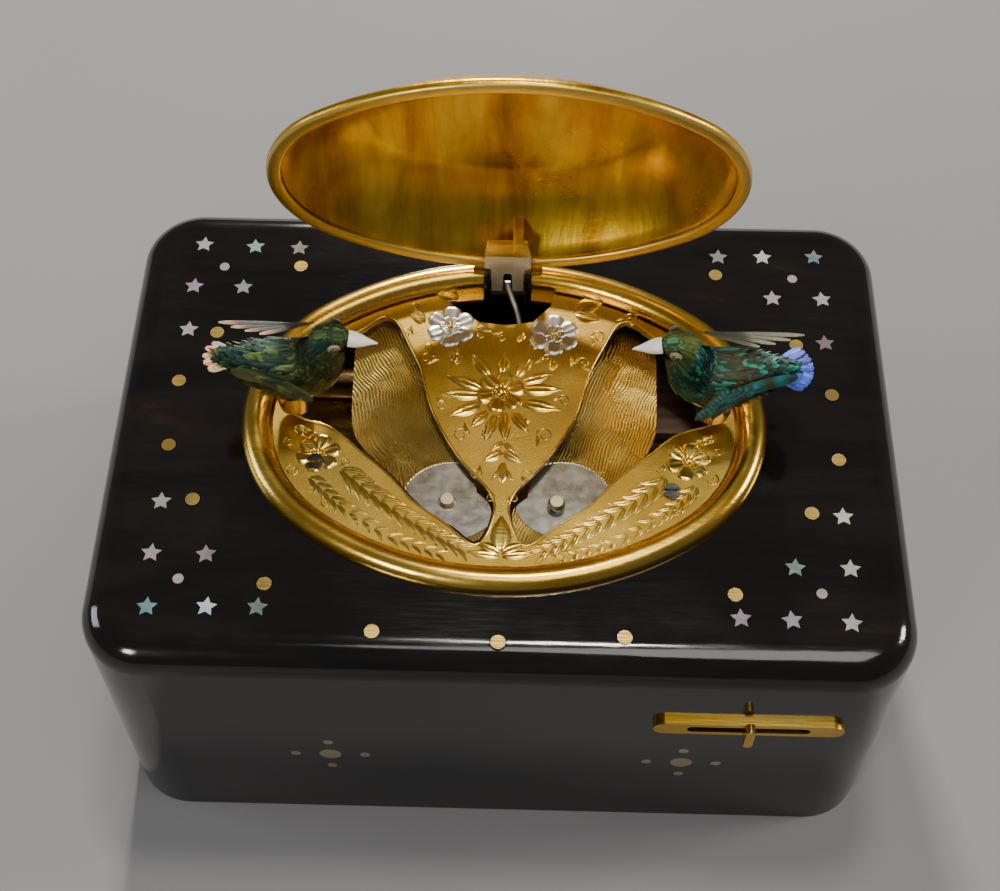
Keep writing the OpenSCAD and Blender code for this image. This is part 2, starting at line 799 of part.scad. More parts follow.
// Second arbor: pinion, wheel and the four cams that work the birds and the whistle
module cam_arbor() {
    color([0.8, 0.65, 0.3]) translate([cam_at.x, cam_at.y, 0]) {
        translate([0, 0, lower_plate_z - 0.2])
            cylinder(h = upper_plate_z + plate_t - lower_plate_z + 0.4, r = thin_arbor_r);
        translate([0, 0, great_z - 0.3]) rotate(180 / great_pinion_teeth)
            linear_extrude(2.4) toothed(great_pinion_teeth, first_module);
        translate([0, 0, cam_wheel_z]) linear_extrude(1.2) toothed(cam_teeth, second_module);
        for (i = [0:3]) translate([0, 0, drum_z + 0.6 + 1.5 * i]) rotate(97 * i)
            translate([0.5, 0, 0]) cylinder(h = 1, r = 3.3 - 0.15 * i);
    }
}

module fly() {
    vane_z = drum_z + 1;
    vane_r = 4.6;
    color([0.7, 0.7, 0.72]) translate([fly_at.x, fly_at.y, 0]) {
        translate([0, 0, lower_plate_z - 0.2])
            cylinder(h = upper_plate_z + plate_t - lower_plate_z + 0.4, r = thin_arbor_r);
        translate([0, 0, cam_wheel_z - 0.4]) rotate(180 / fly_teeth)
            linear_extrude(2) toothed(fly_teeth, second_module);
        translate([0, 0, vane_z + 3]) cube([2 * vane_r, 0.5, 6], center = true);
    }
}

module board(z) {
    translate([bellows_at.x - bellows_size.x / 2, bellows_at.y - bellows_size.y / 2, z])
        cube([bellows_size.x, bellows_size.y, board_t]);
}

module bellows_base() { color([0.45, 0.3, 0.18]) board(deck_z); }

module bellows_top() {
    color([0.45, 0.3, 0.18]) {
        board(bellows_hinge.y);
        translate([bellows_hinge.x, bellows_at.y, bellows_hinge.y + board_t / 2]) rotate([90, 0, 0])
            cylinder(h = bellows_size.y, r = board_t / 2, center = true);
        translate([bellows_hinge.x, bellows_at.y - bellows_size.y / 2, bellows_hinge.y])
            cube([1.1, bellows_size.y, board_t]);
    }
}

module bellows_leather() {
    color([0.6, 0.45, 0.35])
        translate([bellows_at.x - bellows_size.x / 2 + 1, bellows_at.y - bellows_size.y / 2 + 1, 0])
            translate([0, 0, deck_z + board_t])
            cube([bellows_size.x - 2, bellows_size.y - 2, leather_h]);
}

module whistle_tube() {
    axis_z = deck_z + whistle_r + 0.6;
    color([0.85, 0.7, 0.4]) difference() {
        union() {
            translate([whistle_at.x, whistle_at.y, axis_z]) rotate([0, 90, 0])
                cylinder(h = whistle_l, r = whistle_r, center = true);
            for (s = [-0.3, 0.3]) translate([whistle_at.x + s * whistle_l - 1, whistle_at.y - 2, deck_z])
                cube([2, 4, 2]);
        }
        translate([whistle_at.x - whistle_l / 2 + 1, whistle_at.y, axis_z]) rotate([0, 90, 0])
            cylinder(h = whistle_l, r = whistle_r - whistle_wall);
        translate([whistle_at.x - whistle_l / 2 + 4, whistle_at.y - 1.5, axis_z + 1]) cube([1.6, 3, 4]);
    }
}

module whistle_piston() {
    axis_z = deck_z + whistle_r + 0.6;
    color("silver") translate([whistle_at.x + whistle_l / 2 - 5, whistle_at.y, axis_z])
        rotate([0, 90, 0]) {
            cylinder(h = 3, r = whistle_r - whistle_wall - run_gap);
            cylinder(h = piston_l - 1, r = 0.6);
        }
}

// ---------- birds (drawn for the left; the right is its mirror image) ----------

fold_axis = [sin(fold_tilt) * cos(fold_turn), sin(fold_tilt) * sin(fold_turn), cos(fold_tilt)];
function on_fold(t) = pivot_at + t * fold_axis;
module bracket() {
    foot = on_fold((bearing_from + bearing_to) / 2);
    color([0.75, 0.6, 0.3]) difference() {
        union() {
            rod(on_fold(bearing_from), on_fold(bearing_to), fold_pin_r + 1.3);
            translate([foot.x, foot.y, deck_z]) cylinder(h = foot.z - deck_z, r = 2);
        }
        rod(on_fold(bearing_from - 6), on_fold(bearing_to + 6), fold_pin_r + run_gap);
    }
}

module perch() {
    elbow = on_fold(-3.4);
    foot = [-foot_x, foot_y, perch_foot];
    color("silver") {
        rod(on_fold(bearing_from - 0.4), on_fold(-2.6), fold_pin_r);
        rod(on_fold(bearing_to + 0.2), on_fold(-2.6), fold_pin_r + 0.5);
        rod(elbow, foot, elbow_r);
        translate(foot) sphere(elbow_r + 0.15);
        rod(foot, [-foot_x, foot_y, collar_z - 0.1], perch_r);
        rod(foot, [-foot_x, foot_y, collar_z + 2.4], turn_pin_r);
    }
}

module body_solid() {
    translate(body_at) rotate([0, 90 + body_tilt, 0]) rotate_extrude() intersection() {
        translate([body_r - spindle_r, 0]) circle(spindle_r);
        translate([0, -body_l / 2]) square([body_r, body_l]);
    }
    translate(breast_at) sphere(body_r - 0.2);
    rod(neck_at, head_at, body_r - 0.9, head_r - 0.25);
    translate(head_at) sphere(head_r);
}

module collar() {
    color("gold") difference() {
        translate([-foot_x, foot_y, collar_z]) cylinder(h = collar_h, r1 = collar_r, r2 = collar_r + 0.3);
        translate([-foot_x, foot_y, collar_z - 1]) cylinder(h = 3.5, r = turn_pin_r + pin_gap);
        body_solid();
    }
}

module at_beak() translate(beak_at) rotate([0, beak_dip, 0]) children();

module body() {
    color([0.12, 0.2, 0.14]) difference() {
        body_solid();
        at_beak() translate([-0.6, 0, -0.1]) rotate([90, 0, 0]) cylinder(h = 2.4, r = 0.62, center = true);
        mirror_y() translate(head_at + eye_at) rotate([-90, 0, 0]) cylinder(h = 3, r = eye_r);
        translate(tail_root) rotate([90, 0, 0]) cylinder(h = 4, r = 0.75, center = true);
    }
}

// Both sides of a bird
module mirror_y() {
    children();
    translate([0, 2 * foot_y, 0]) mirror([0, 1, 0]) children();
}

module upper_beak() {
    color([0.9, 0.87, 0.78]) difference() {
        at_beak() difference() {
            translate([-0.45, 0, 0]) rotate([0, 90, 0]) cylinder(h = beak_l + 0.3, r1 = beak_r, r2 = 0.12);
            translate([-2, -3, -6]) cube([12, 6, 6.05]);
        }
        body_solid();
        at_beak() translate([-0.6, 0, -0.1]) rotate([90, 0, 0]) cylinder(h = 2.4, r = 0.62, center = true);
    }
}

module lower_beak() {
    color([0.88, 0.85, 0.76]) at_beak() {
        difference() {
            rotate([0, 90, 0]) cylinder(h = beak_l - 0.3, r1 = beak_r - 0.2, r2 = 0.12);
            translate([-2, -3, -0.05]) cube([12, 6, 6]);
            translate([-head_r - 0.1, 0, 0.2]) sphere(head_r + 0.5);
        }
        translate([-0.6, 0, -0.1]) rotate([90, 0, 0]) cylinder(h = 2.2, r = 0.5, center = true);
        translate([-0.5, -0.4, -0.4]) cube([1.3, 0.8, 0.3]);
    }
}

module eyes() {
    color([0.9, 0.85, 0.6]) mirror_y() translate(head_at + eye_at) rotate([-90, 0, 0])
        cylinder(h = 0.5, r = eye_r - 0.01);
}

module far_wing() {
    color([0.15, 0.3, 0.3]) translate(wing_root) {
        rotate([wing_slope - 90, 0, 0]) translate([0, 0, -feather_t / 2]) linear_extrude(feather_t)
            polygon(smooth(wing_shape));
        translate([-2.5, 0, 0]) rotate([0, 90, 0]) cylinder(h = 6, r = 0.4);
    }
}

module near_wing() {
    color([0.15, 0.35, 0.4]) translate([0, 2 * foot_y, 0]) mirror([0, 1, 0]) far_wing();
}

module tail() {
    color([0.2, 0.3, 0.5]) translate(tail_root) {
        rotate([0, tail_slope, 0]) translate([0, 0, -feather_t / 2]) linear_extrude(feather_t)
            polygon(smooth(tail_shape, 3));
        rotate([90, 0, 0]) cylinder(h = 3, r = 0.5, center = true);
    }
}

module right() mirror([1, 0, 0]) children();

case_shell();
base_plate();
base_screws();
star_inlays();
gold_disc_inlays();
pearl_dot_inlays();
panel_disc_inlays();
bezel();
grille();
grille_screws();
rosettes();
slide_track();
start_slide();
hinge_block();
hinge_pin();
lid();
lid_lug();
lid_lever();
main_plate();
top_plate();
pillars();
movement_screws();
spring_barrel();
mainspring();
winding_arbor();
ratchet_wheel();
click();
cam_arbor();
fly();
bellows_base();
bellows_top();
bellows_leather();
whistle_tube();
whistle_piston();
shutter_posts();
shutter_rivets();
left_shutter();
right_shutter();
bracket();  // left_bracket
perch();  // left_perch
collar();  // left_collar
body();  // left_body
upper_beak();  // left_upper_beak
lower_beak();  // left_lower_beak
eyes();  // left_eyes
near_wing();  // left_near_wing
far_wing();  // left_far_wing
tail();  // left_tail
right() bracket();  // right_bracket
right() perch();  // right_perch
right() collar();  // right_collar
right() body();  // right_body
right() upper_beak();  // right_upper_beak
right() lower_beak();  // right_lower_beak
right() eyes();  // right_eyes
right() near_wing();  // right_near_wing
right() far_wing();  // right_far_wing
right() tail();  // right_tail
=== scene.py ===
# %% [markdown]
# A double singing-bird box: a black lacquered case, inlaid with stars of shell and discs of gold,
# an oval gilt bezel, a pierced and engraved grille, a hinged oval lid, and two feathered birds.
# The solids come from the CAD frame, and everything here dresses them. Blender works in metres.

# %% Load the frame
import math
import random

import bmesh
import bpy
from mathutils import Matrix, Vector
from mathutils.geometry import interpolate_bezier


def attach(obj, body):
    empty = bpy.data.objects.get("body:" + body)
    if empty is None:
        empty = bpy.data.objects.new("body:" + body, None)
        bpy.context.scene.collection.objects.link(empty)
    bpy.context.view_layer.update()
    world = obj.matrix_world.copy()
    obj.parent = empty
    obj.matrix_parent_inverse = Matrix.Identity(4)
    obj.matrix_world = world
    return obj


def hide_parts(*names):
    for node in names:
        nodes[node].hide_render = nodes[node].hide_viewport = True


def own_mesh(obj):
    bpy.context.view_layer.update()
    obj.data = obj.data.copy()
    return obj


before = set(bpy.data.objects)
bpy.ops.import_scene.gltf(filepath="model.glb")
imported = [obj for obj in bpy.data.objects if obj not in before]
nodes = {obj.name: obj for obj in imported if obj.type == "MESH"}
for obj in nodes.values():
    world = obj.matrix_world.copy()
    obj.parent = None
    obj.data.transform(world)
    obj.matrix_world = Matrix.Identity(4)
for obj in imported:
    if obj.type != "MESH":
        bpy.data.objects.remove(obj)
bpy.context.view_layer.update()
MM = 0.001
random.seed(7)
print("pieces from CAD:", len(nodes))

# %% [markdown]
# The camera looks down at the front of the box from a little over half a right angle. It is built
# from its own three directions instead of Euler angles, so that its slight roll is easy to read.

# %% Camera
CAMERA_AT = Vector((1.494, -116.546, 222.363)) * MM
YAW, PITCH, ROLL = -0.0174355, 0.969076, 0.00798766
LENS, SENSOR, SHIFT_UP = 60.18, 36, -0.06


def look_matrix(at, yaw, pitch, roll):
    """Camera matrix from a place and three angles in radians."""
    ahead = Vector((math.sin(yaw) * math.cos(pitch), math.cos(yaw) * math.cos(pitch), -math.sin(pitch)))
    side = Vector((math.cos(yaw), -math.sin(yaw), 0))
    up = side.cross(ahead)
    side_rolled = side * math.cos(roll) + up * math.sin(roll)
    up_rolled = up * math.cos(roll) - side * math.sin(roll)
    m = Matrix((side_rolled, up_rolled, -ahead)).transposed().to_4x4()
    m.translation = at
    return m


camera_data = bpy.data.cameras.new("camera")
camera_data.lens = LENS
camera_data.sensor_width = SENSOR
camera_data.shift_y = SHIFT_UP
camera = bpy.data.objects.new("camera", camera_data)
bpy.context.scene.collection.objects.link(camera)
camera.matrix_world = look_matrix(CAMERA_AT, YAW, PITCH, ROLL)
bpy.context.scene.camera = camera
print("camera height in mm:", round(camera.matrix_world.translation.z / MM))

# %% [markdown]
# Polished gold and lacquer show little colour of their own: they show the room. Soft area lamps all
# round give the highlights and the shadows, and a dim, slightly cool world fills the rest. Lamps are
# made by one small function, so that each one is a single line to read and to change.

# %% Light
world = bpy.data.worlds.new("studio")
world.use_nodes = True
bpy.context.scene.world = world
background = world.node_tree.nodes["Background"]
background.inputs["Color"].default_value = (0.78, 0.80, 0.86, 1)
background.inputs["Strength"].default_value = 0.16


def lamp(name, place, target, size, power, colour):
    """A soft oblong lamp that points at a target, all in millimetres."""
    data = bpy.data.lights.new(name, "AREA")
    data.shape = "RECTANGLE"
    data.size = size[0] * MM
    data.size_y = size[1] * MM
    data.energy = power
    data.color = colour
    obj = bpy.data.objects.new(name, data)
    bpy.context.scene.collection.objects.link(obj)
    obj.location = Vector(place) * MM
    aim = (Vector(target) - Vector(place)).normalized()
    obj.rotation_euler = aim.to_track_quat("-Z", "Y").to_euler()


lamp("sun_patch", (-60, 640, 380), (0, 0, 40), (60, 50), 8.0, (1.0, 0.95, 0.86))
lamp("right_window", (600, 90, 330), (0, 0, 30), (160, 130), 2.2, (1.0, 0.97, 0.92))
lamp("side_fill", (-560, 60, 240), (0, 0, 20), (200, 200), 0.8, (0.86, 0.92, 1.0))
lamp("ceiling", (150, -160, 700), (0, 0, 20), (420, 300), 1.6, (1.0, 0.98, 0.95))
lamp("overhead", (30, 90, 650), (0, 0, 40), (70, 70), 1.6, (1.0, 0.96, 0.88))
lamp("front_left", (-260, -420, 330), (0, 0, 50), (110, 110), 1.1, (1.0, 0.97, 0.92))
print("lamps:", len(bpy.data.lights))

# %% [markdown]
# The floor is a plain grey plane, wide enough to fill the view. One flat grid is all it needs, as
# its soft unevenness comes from its material.

# %% Floor
floor_bm = bmesh.new()
FLOOR_HALF = 1.6
bmesh.ops.create_grid(floor_bm, x_segments=2, y_segments=2, size=FLOOR_HALF)
floor_mesh = bpy.data.meshes.new("floor")
floor_bm.to_mesh(floor_mesh)
floor_bm.free()
floor = bpy.data.objects.new("floor", floor_mesh)
bpy.context.scene.collection.objects.link(floor)
print("floor width in mm:", round(floor.dimensions.x / MM))

# %% [markdown]
# Materials are trees of nodes. These few helpers keep the trees short to write: one adds a node
# with its settings, one makes a colour ramp, and one adds a material with its shader.


# %% Node helpers
def add_node(tree, kind, inputs=None, **settings):
    """One node, with its settings, and its inputs as values or as sockets to link from."""
    node = tree.nodes.new(kind)
    for key, value in settings.items():
        setattr(node, key, value)
    for key, value in (inputs or {}).items():
        socket = node.inputs[key]
        if isinstance(value, bpy.types.NodeSocket):
            tree.links.new(value, socket)
        else:
            socket.default_value = value
    return node


def ramp(tree, factor, stops):
    """A colour ramp; stops are (position, colour)."""
    node = add_node(tree, "ShaderNodeValToRGB", {"Fac": factor})
    elements = node.color_ramp.elements
    while len(elements) < len(stops):
        elements.new(0.5)
    for element, (place, colour) in zip(elements, stops):
        element.position = place
        element.color = (*colour, 1)
    return node.outputs["Color"]


def new_material(name):
    """A material, its tree and its Principled shader."""
    material = bpy.data.materials.new(name)
    material.use_nodes = True
    tree = material.node_tree
    shader = tree.nodes["Principled BSDF"]
    return material, tree, shader


def object_point(tree):
    """The point being shaded, in the object's own metres."""
    return add_node(tree, "ShaderNodeTexCoord").outputs["Object"]


def colour_by(tree, shader, factor, stops):
    """Base colour from a ramp over a factor."""
    tree.links.new(ramp(tree, factor, stops), shader.inputs["Base Color"])


def bump_by(tree, shader, height, strength, distance):
    """Normal from a bump over a height; returns the bump node."""
    bump = add_node(tree, "ShaderNodeBump", {"Strength": strength, "Distance": distance, "Height": height})
    tree.links.new(bump.outputs[0], shader.inputs["Normal"])
    return bump


def scaled(tree, colour, factor):
    """A colour made lighter or darker by a factor."""
    return add_node(tree, "ShaderNodeVectorMath", {0: colour, "Scale": factor}, operation="SCALE").outputs[0]


print("shader of a new material:", new_material("trial")[2].name)
bpy.data.materials.remove(bpy.data.materials["trial"])

# %% [markdown]
# An effect that several finishes share is a node group: it is made once, and every material that
# uses it sets its own values on the group's named sockets. One helper starts a group, one places it.

# %% Group helpers
FLOAT = "NodeSocketFloat"


def new_group(name, inputs, outputs):
    """An empty node group: inputs are {name: (socket kind, default)} and outputs {name: socket kind}."""
    group = bpy.data.node_groups.new(name, "ShaderNodeTree")
    for label, (kind, default) in inputs.items():
        socket = group.interface.new_socket(label, in_out="INPUT", socket_type=kind)
        socket.default_value = default
    for label, kind in outputs.items():
        group.interface.new_socket(label, in_out="OUTPUT", socket_type=kind)
    return group, group.nodes.new("NodeGroupInput"), group.nodes.new("NodeGroupOutput")


def use_group(tree, group, **inputs):
    """Places a shared group in a tree, with this material's own values."""
    node = tree.nodes.new("ShaderNodeGroup")
    node.node_tree = group
    for key, value in inputs.items():
        socket = node.inputs[key.replace("_", " ")]
        if isinstance(value, bpy.types.NodeSocket):
            tree.links.new(value, socket)
        else:
            socket.default_value = value
    return node


print("socket kind of every group input:", FLOAT)

# %% [markdown]
# Handling leaves the same traces on metal and lacquer alike: soft smears that change the gloss, and
# fine scratches. One group makes both, and each material asks for its own strength and scale.

# %% Handling wear
wear_group, wear_in, wear_out = new_group(
    "handling wear",
    {"Scale": (FLOAT, 60.0), "Polished": (FLOAT, 0.15), "Dull": (FLOAT, 0.35)},
    {"Roughness": FLOAT, "Height": FLOAT},
)
wear_point = object_point(wear_group)
smear = add_node(wear_group, "ShaderNodeTexNoise",
                 {"Vector": wear_point, "Scale": wear_in.outputs["Scale"], "Detail": 5.0, "Roughness": 0.6})
scratch_point = add_node(wear_group, "ShaderNodeMapping",
                         {"Vector": wear_point, "Rotation": (0.2, 0.1, 0.6), "Scale": (1.0, 14.0, 6.0)})
scratch = add_node(wear_group, "ShaderNodeTexNoise",
                   {"Vector": scratch_point.outputs[0], "Scale": 220.0, "Detail": 3.0})
smear_mask = add_node(wear_group, "ShaderNodeMapRange",
                      {"Value": smear.outputs["Fac"], "From Min": 0.38, "From Max": 0.68})
mixed = add_node(wear_group, "ShaderNodeMath",
                 {0: smear_mask.outputs[0], 1: scratch.outputs["Fac"]}, operation="MULTIPLY")
rough = add_node(wear_group, "ShaderNodeMapRange",
                 {"Value": mixed.outputs[0], "To Min": wear_in.outputs["Polished"],
                  "To Max": wear_in.outputs["Dull"]})
wear_group.links.new(rough.outputs[0], wear_out.inputs["Roughness"])
wear_group.links.new(scratch.outputs["Fac"], wear_out.inputs["Height"])
print("handling wear nodes:", len(wear_group.nodes))

# %% [markdown]
# The floor is matt and a slightly uneven grey, from a broad soft noise. It is kept plain, so that it
# only catches the shadow of the box.

# %% Floor finish
floor_material, tree, shader = new_material("pale_floor")
floor_noise = add_node(tree, "ShaderNodeTexNoise", {"Vector": object_point(tree), "Scale": 6.0, "Detail": 3.0})
colour_by(tree, shader, floor_noise.outputs["Fac"], [(0.3, (0.18, 0.176, 0.18)), (0.7, (0.214, 0.21, 0.214))])
shader.inputs["Roughness"].default_value = 0.85
floor.data.materials.append(floor_material)
print("floor finish:", floor_material.name)

# %% [markdown]
# The case is black lacquer. In the light it shows faint brown streaks, from a noise that is stretched
# along the box. Its surface is glass-smooth and wears only a little. A high refractive index gives
# the strong shine of many polished layers.

# %% Lacquer
lacquer, tree, shader = new_material("lacquer")
point = object_point(tree)
stretched = add_node(tree, "ShaderNodeMapping", {"Vector": point, "Scale": (0.35, 1.6, 1.0)})
streaks = add_node(tree, "ShaderNodeTexNoise",
                   {"Vector": stretched.outputs[0], "Scale": 95.0, "Detail": 7.0, "Roughness": 0.62,
                    "Distortion": 0.4})
colour_by(tree, shader, streaks.outputs["Fac"],
          [(0.35, (0.002, 0.0016, 0.0012)), (0.62, (0.006, 0.004, 0.0025)), (0.8, (0.022, 0.012, 0.006))])
wear = use_group(tree, wear_group, Scale=45.0, Polished=0.08, Dull=0.24)
tree.links.new(wear.outputs["Roughness"], shader.inputs["Roughness"])
bump_by(tree, shader, wear.outputs["Height"], 0.04, 0.0002)
shader.inputs["IOR"].default_value = 1.62
print("lacquer tree nodes:", len(tree.nodes))

# %% [markdown]
# Gilding is the same everywhere on the box but for how it was finished: bright on the bezel, softer
# and redder inside the lid. Brass, steel and silver wear in the same way and differ only in colour,
# so one function makes every metal from a few values.


# %% Gilding
def gilding(name, bright, deep, polished, dull, scale=70.0, bump_strength=0.06):
    """A worn metal: its colour runs between bright and deep."""
    material, tree, shader = new_material(name)
    wear = use_group(tree, wear_group, Scale=scale, Polished=polished, Dull=dull)
    tint = add_node(tree, "ShaderNodeTexNoise", {"Vector": object_point(tree), "Scale": scale * 0.7, "Detail": 4.0})
    colour_by(tree, shader, tint.outputs["Fac"], [(0.36, deep), (0.62, bright)])
    tree.links.new(wear.outputs["Roughness"], shader.inputs["Roughness"])
    bump_by(tree, shader, wear.outputs["Height"], bump_strength, 0.0003)
    shader.inputs["Metallic"].default_value = 1.0
    return material


gilt_bezel = gilding("gilt_bezel", (0.84, 0.55, 0.10), (0.68, 0.38, 0.03), 0.2, 0.38)
gilt_lid = gilding("gilt_lid", (0.80, 0.46, 0.035), (0.62, 0.30, 0.01), 0.27, 0.46, 40.0, 0.03)
gold_inlay = gilding("gold_inlay", (0.74, 0.52, 0.15), (0.60, 0.39, 0.09), 0.24, 0.4, 120.0)
gold_rivet = gilding("gold_rivet", (0.86, 0.76, 0.52), (0.66, 0.56, 0.34), 0.3, 0.5)
gold_collar = gilding("gold_collar", (0.85, 0.6, 0.2), (0.6, 0.38, 0.1), 0.2, 0.4)
brass = gilding("brass", (0.75, 0.58, 0.28), (0.6, 0.42, 0.18), 0.25, 0.45)
silver = gilding("silver_ornament", (0.62, 0.60, 0.56), (0.44, 0.42, 0.38), 0.28, 0.46, 160.0)
steel = gilding("steel", (0.62, 0.62, 0.63), (0.42, 0.42, 0.44), 0.2, 0.4)
blued = gilding("blued_spring", (0.10, 0.16, 0.42), (0.05, 0.08, 0.25), 0.2, 0.35)
print("materials so far:", len(bpy.data.materials))

# %% [markdown]
# Every new piece is shaped in millimetres with bmesh operators. This helper scales it to metres, sets
# smooth shading, gives it its material, and ties it to the body it moves with.


# %% Piece helper
def make_piece(name, bm, materials, body, stands_for=(), sharp=40, mirrored=False, recalc=True):
    """Turns a bmesh in millimetres into a finished object at the origin."""
    if mirrored:
        bmesh.ops.scale(bm, vec=(-1, 1, 1), verts=bm.verts[:])
        bmesh.ops.reverse_faces(bm, faces=bm.faces[:])
    if recalc:
        bmesh.ops.recalc_face_normals(bm, faces=bm.faces[:])
    bmesh.ops.scale(bm, vec=(MM, MM, MM), verts=bm.verts[:])
    for face in bm.faces:
        face.smooth = True
    for edge in bm.edges:
        if len(edge.link_faces) == 2 and edge.calc_face_angle(0) > math.radians(sharp):
            edge.smooth = False
    mesh = bpy.data.meshes.new(name)
    bm.to_mesh(mesh)
    bm.free()
    for material in materials:
        mesh.materials.append(material)
    obj = bpy.data.objects.new(name, mesh)
    bpy.context.scene.collection.objects.link(obj)
    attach(obj, body)
    if stands_for:
        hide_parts(*stands_for)
    print(name, "faces:", len(mesh.polygons))
    return obj


def dress(node, material):
    """Gives a CAD piece its finish and leaves its shape alone."""
    nodes[node].data.materials.clear()
    nodes[node].data.materials.append(material)


# %% [markdown]
# Many shapes here are rings of points joined into a skin, laid along a path or an outline. These
# helpers set a ring in its place, bridge rings, soften edges and build a detail on a mesh of its own.

# %% Ring and edge helpers
BEVEL_STEPS = 2


def batch(bm, build, *values, **settings):
    """Builds on a small bmesh of its own and adds it to bm: operators are slow inside a large one."""
    small = bmesh.new()
    for name in bm.loops.layers.uv.keys():
        small.loops.layers.uv.new(name)
    for name in bm.verts.layers.float_color.keys():
        small.verts.layers.float_color.new(name)
    build(small, *values, **settings)
    scrap = bpy.data.meshes.new("scrap")
    small.to_mesh(scrap)
    small.free()
    bm.from_mesh(scrap)
    bpy.data.meshes.remove(scrap)


def bridge(bm, rings, closed=False, capped=False):
    """Joins rings of vertices, each to the next, and closes the loop or caps both ends."""
    loops = [{e for v in verts for e in v.link_edges} for verts in rings]
    for near, far in zip(loops, loops[1:] + loops[:1] if closed else loops[1:]):
        bmesh.ops.bridge_loops(bm, edges=list(near | far))
    if capped:
        for loop in (loops[0], loops[-1]):
            bmesh.ops.holes_fill(bm, edges=list(loop), sides=0)


def soften(bm, edges, offset):
    """A small rounded bevel along the edges."""
    bmesh.ops.bevel(bm, geom=edges, offset=offset, affect="EDGES", segments=BEVEL_STEPS, profile=0.5, material=-1)


def axes(at, x_axis, z_axis):
    """Matrix that puts +X along x_axis and +Z near z_axis."""
    x_axis = Vector(x_axis).normalized()
    y_axis = Vector(z_axis).cross(x_axis).normalized()
    m = Matrix((x_axis, y_axis, x_axis.cross(y_axis))).transposed().to_4x4()
    m.translation = Vector(at)
    return m


print("bevels are rounded in steps:", BEVEL_STEPS)

# %% [markdown]
# The bezel and the lid follow one oval made of four arcs. A ring of points is laid on it at each
# step of the piece's profile, and the rings are bridged, much as a turner would run a moulding.

# %% Oval mouldings
HALF_W, HALF_D = 33.25, 24.9
OVAL_UNIT = (HALF_W - HALF_D) / 2
END_X, SIDE_Y = 3 * OVAL_UNIT, 4 * OVAL_UNIT
END_R, SIDE_R = HALF_W - END_X, HALF_D + SIDE_Y
MEET = math.atan2(4, 3)
ARC_POINTS = 36


def oval_point(index, inset):
    """One point of the oval, moved in from its outer edge."""
    arc, step = divmod(index % (4 * ARC_POINTS), ARC_POINTS)
    centre, radius, start, sweep = (
        ((END_X, 0), END_R, -MEET, 2 * MEET),
        ((0, -SIDE_Y), SIDE_R, MEET, math.pi - 2 * MEET),
        ((-END_X, 0), END_R, math.pi - MEET, 2 * MEET),
        ((0, SIDE_Y), SIDE_R, math.pi + MEET, math.pi - 2 * MEET),
    )[arc]
    angle = start + sweep * step / ARC_POINTS
    return centre[0] + (radius - inset) * math.cos(angle), centre[1] + (radius - inset) * math.sin(angle)


def run_moulding(bm, profile, closed):
    """Bridges an oval ring at each (inset, height) of the profile."""
    rings = []
    for inset, height in profile:
        rings.append(bmesh.ops.create_circle(bm, segments=4 * ARC_POINTS, radius=1)["verts"])
        for i, vert in enumerate(rings[-1]):
            vert.co = (*oval_point(i, inset), height)
    bridge(bm, rings, closed=closed, capped=not closed)


print("oval in mm:", 2 * HALF_W, "by", 2 * HALF_D)

# %% [markdown]
# The bezel is a round bead on a thin skirt, with a narrow ledge inside that carries the grille.
# It is broken at the back, where the hinge stands, so two cuts open it and their ends are filled.

# %% Bezel
TOP = 45.0
BEAD_W, BEAD_H = 3.6, 1.9
HINGE_GAP = 3.2
bead = [(1.2, 43.0), (1.2, TOP)]
bead += [(BEAD_W / 2 * (1 - math.cos(math.pi * i / 20)), TOP + BEAD_H * math.sin(math.pi * i / 20))
         for i in range(21)]
bead += [(BEAD_W, 43.6), (BEAD_W + 1.0, 43.6), (BEAD_W + 1.0, 43.0)]
bezel_bm = bmesh.new()
run_moulding(bezel_bm, bead, closed=True)
for side in (-1, 1):
    bmesh.ops.bisect_plane(bezel_bm, geom=bezel_bm.verts[:] + bezel_bm.edges[:] + bezel_bm.faces[:],
                           plane_co=(side * HINGE_GAP, 0, 0), plane_no=(1, 0, 0))
gap = [f for f in bezel_bm.faces
       if abs(f.calc_center_median().x) < HINGE_GAP and f.calc_center_median().y > 0]
bmesh.ops.delete(bezel_bm, geom=gap, context="FACES")
bmesh.ops.holes_fill(bezel_bm, edges=[e for e in bezel_bm.edges if e.is_boundary], sides=0)
make_piece("bezel_bead", bezel_bm, [gilt_bezel], "case", ["bezel"])

# %% [markdown]
# The lid is a shallow dish with a rolled rim and a flat edge of brighter gold. It is modelled closed,
# on the same oval as the bezel, and then turned back on its hinge, as a lid is fitted to its box.

# %% Lid
LID_OPEN = math.radians(80)
HINGE = Vector((0, 23.2, 46.4))
LID_INSET, LID_UNDER = 3.85, 45.3
DOME_START, DOME_RUN, DOME_RISE, DOME_FOOT, DOME_POWER = 0.9, 12.0, 8.6, 0.5, 1.8
RIM_W, FLAT_TOP = 1.9, 0.35


def dome(t, wall=0.0):
    """(inset, height) on the dome: t is 0 at the rim and 1 at the middle."""
    slope = math.radians(40 * (1 - t ** 4))
    height = DOME_RISE - (DOME_RISE - DOME_FOOT) * (1 - t) ** DOME_POWER
    return (LID_INSET + DOME_START + DOME_RUN * t + wall * math.sin(slope),
            LID_UNDER + height - wall * math.cos(slope))


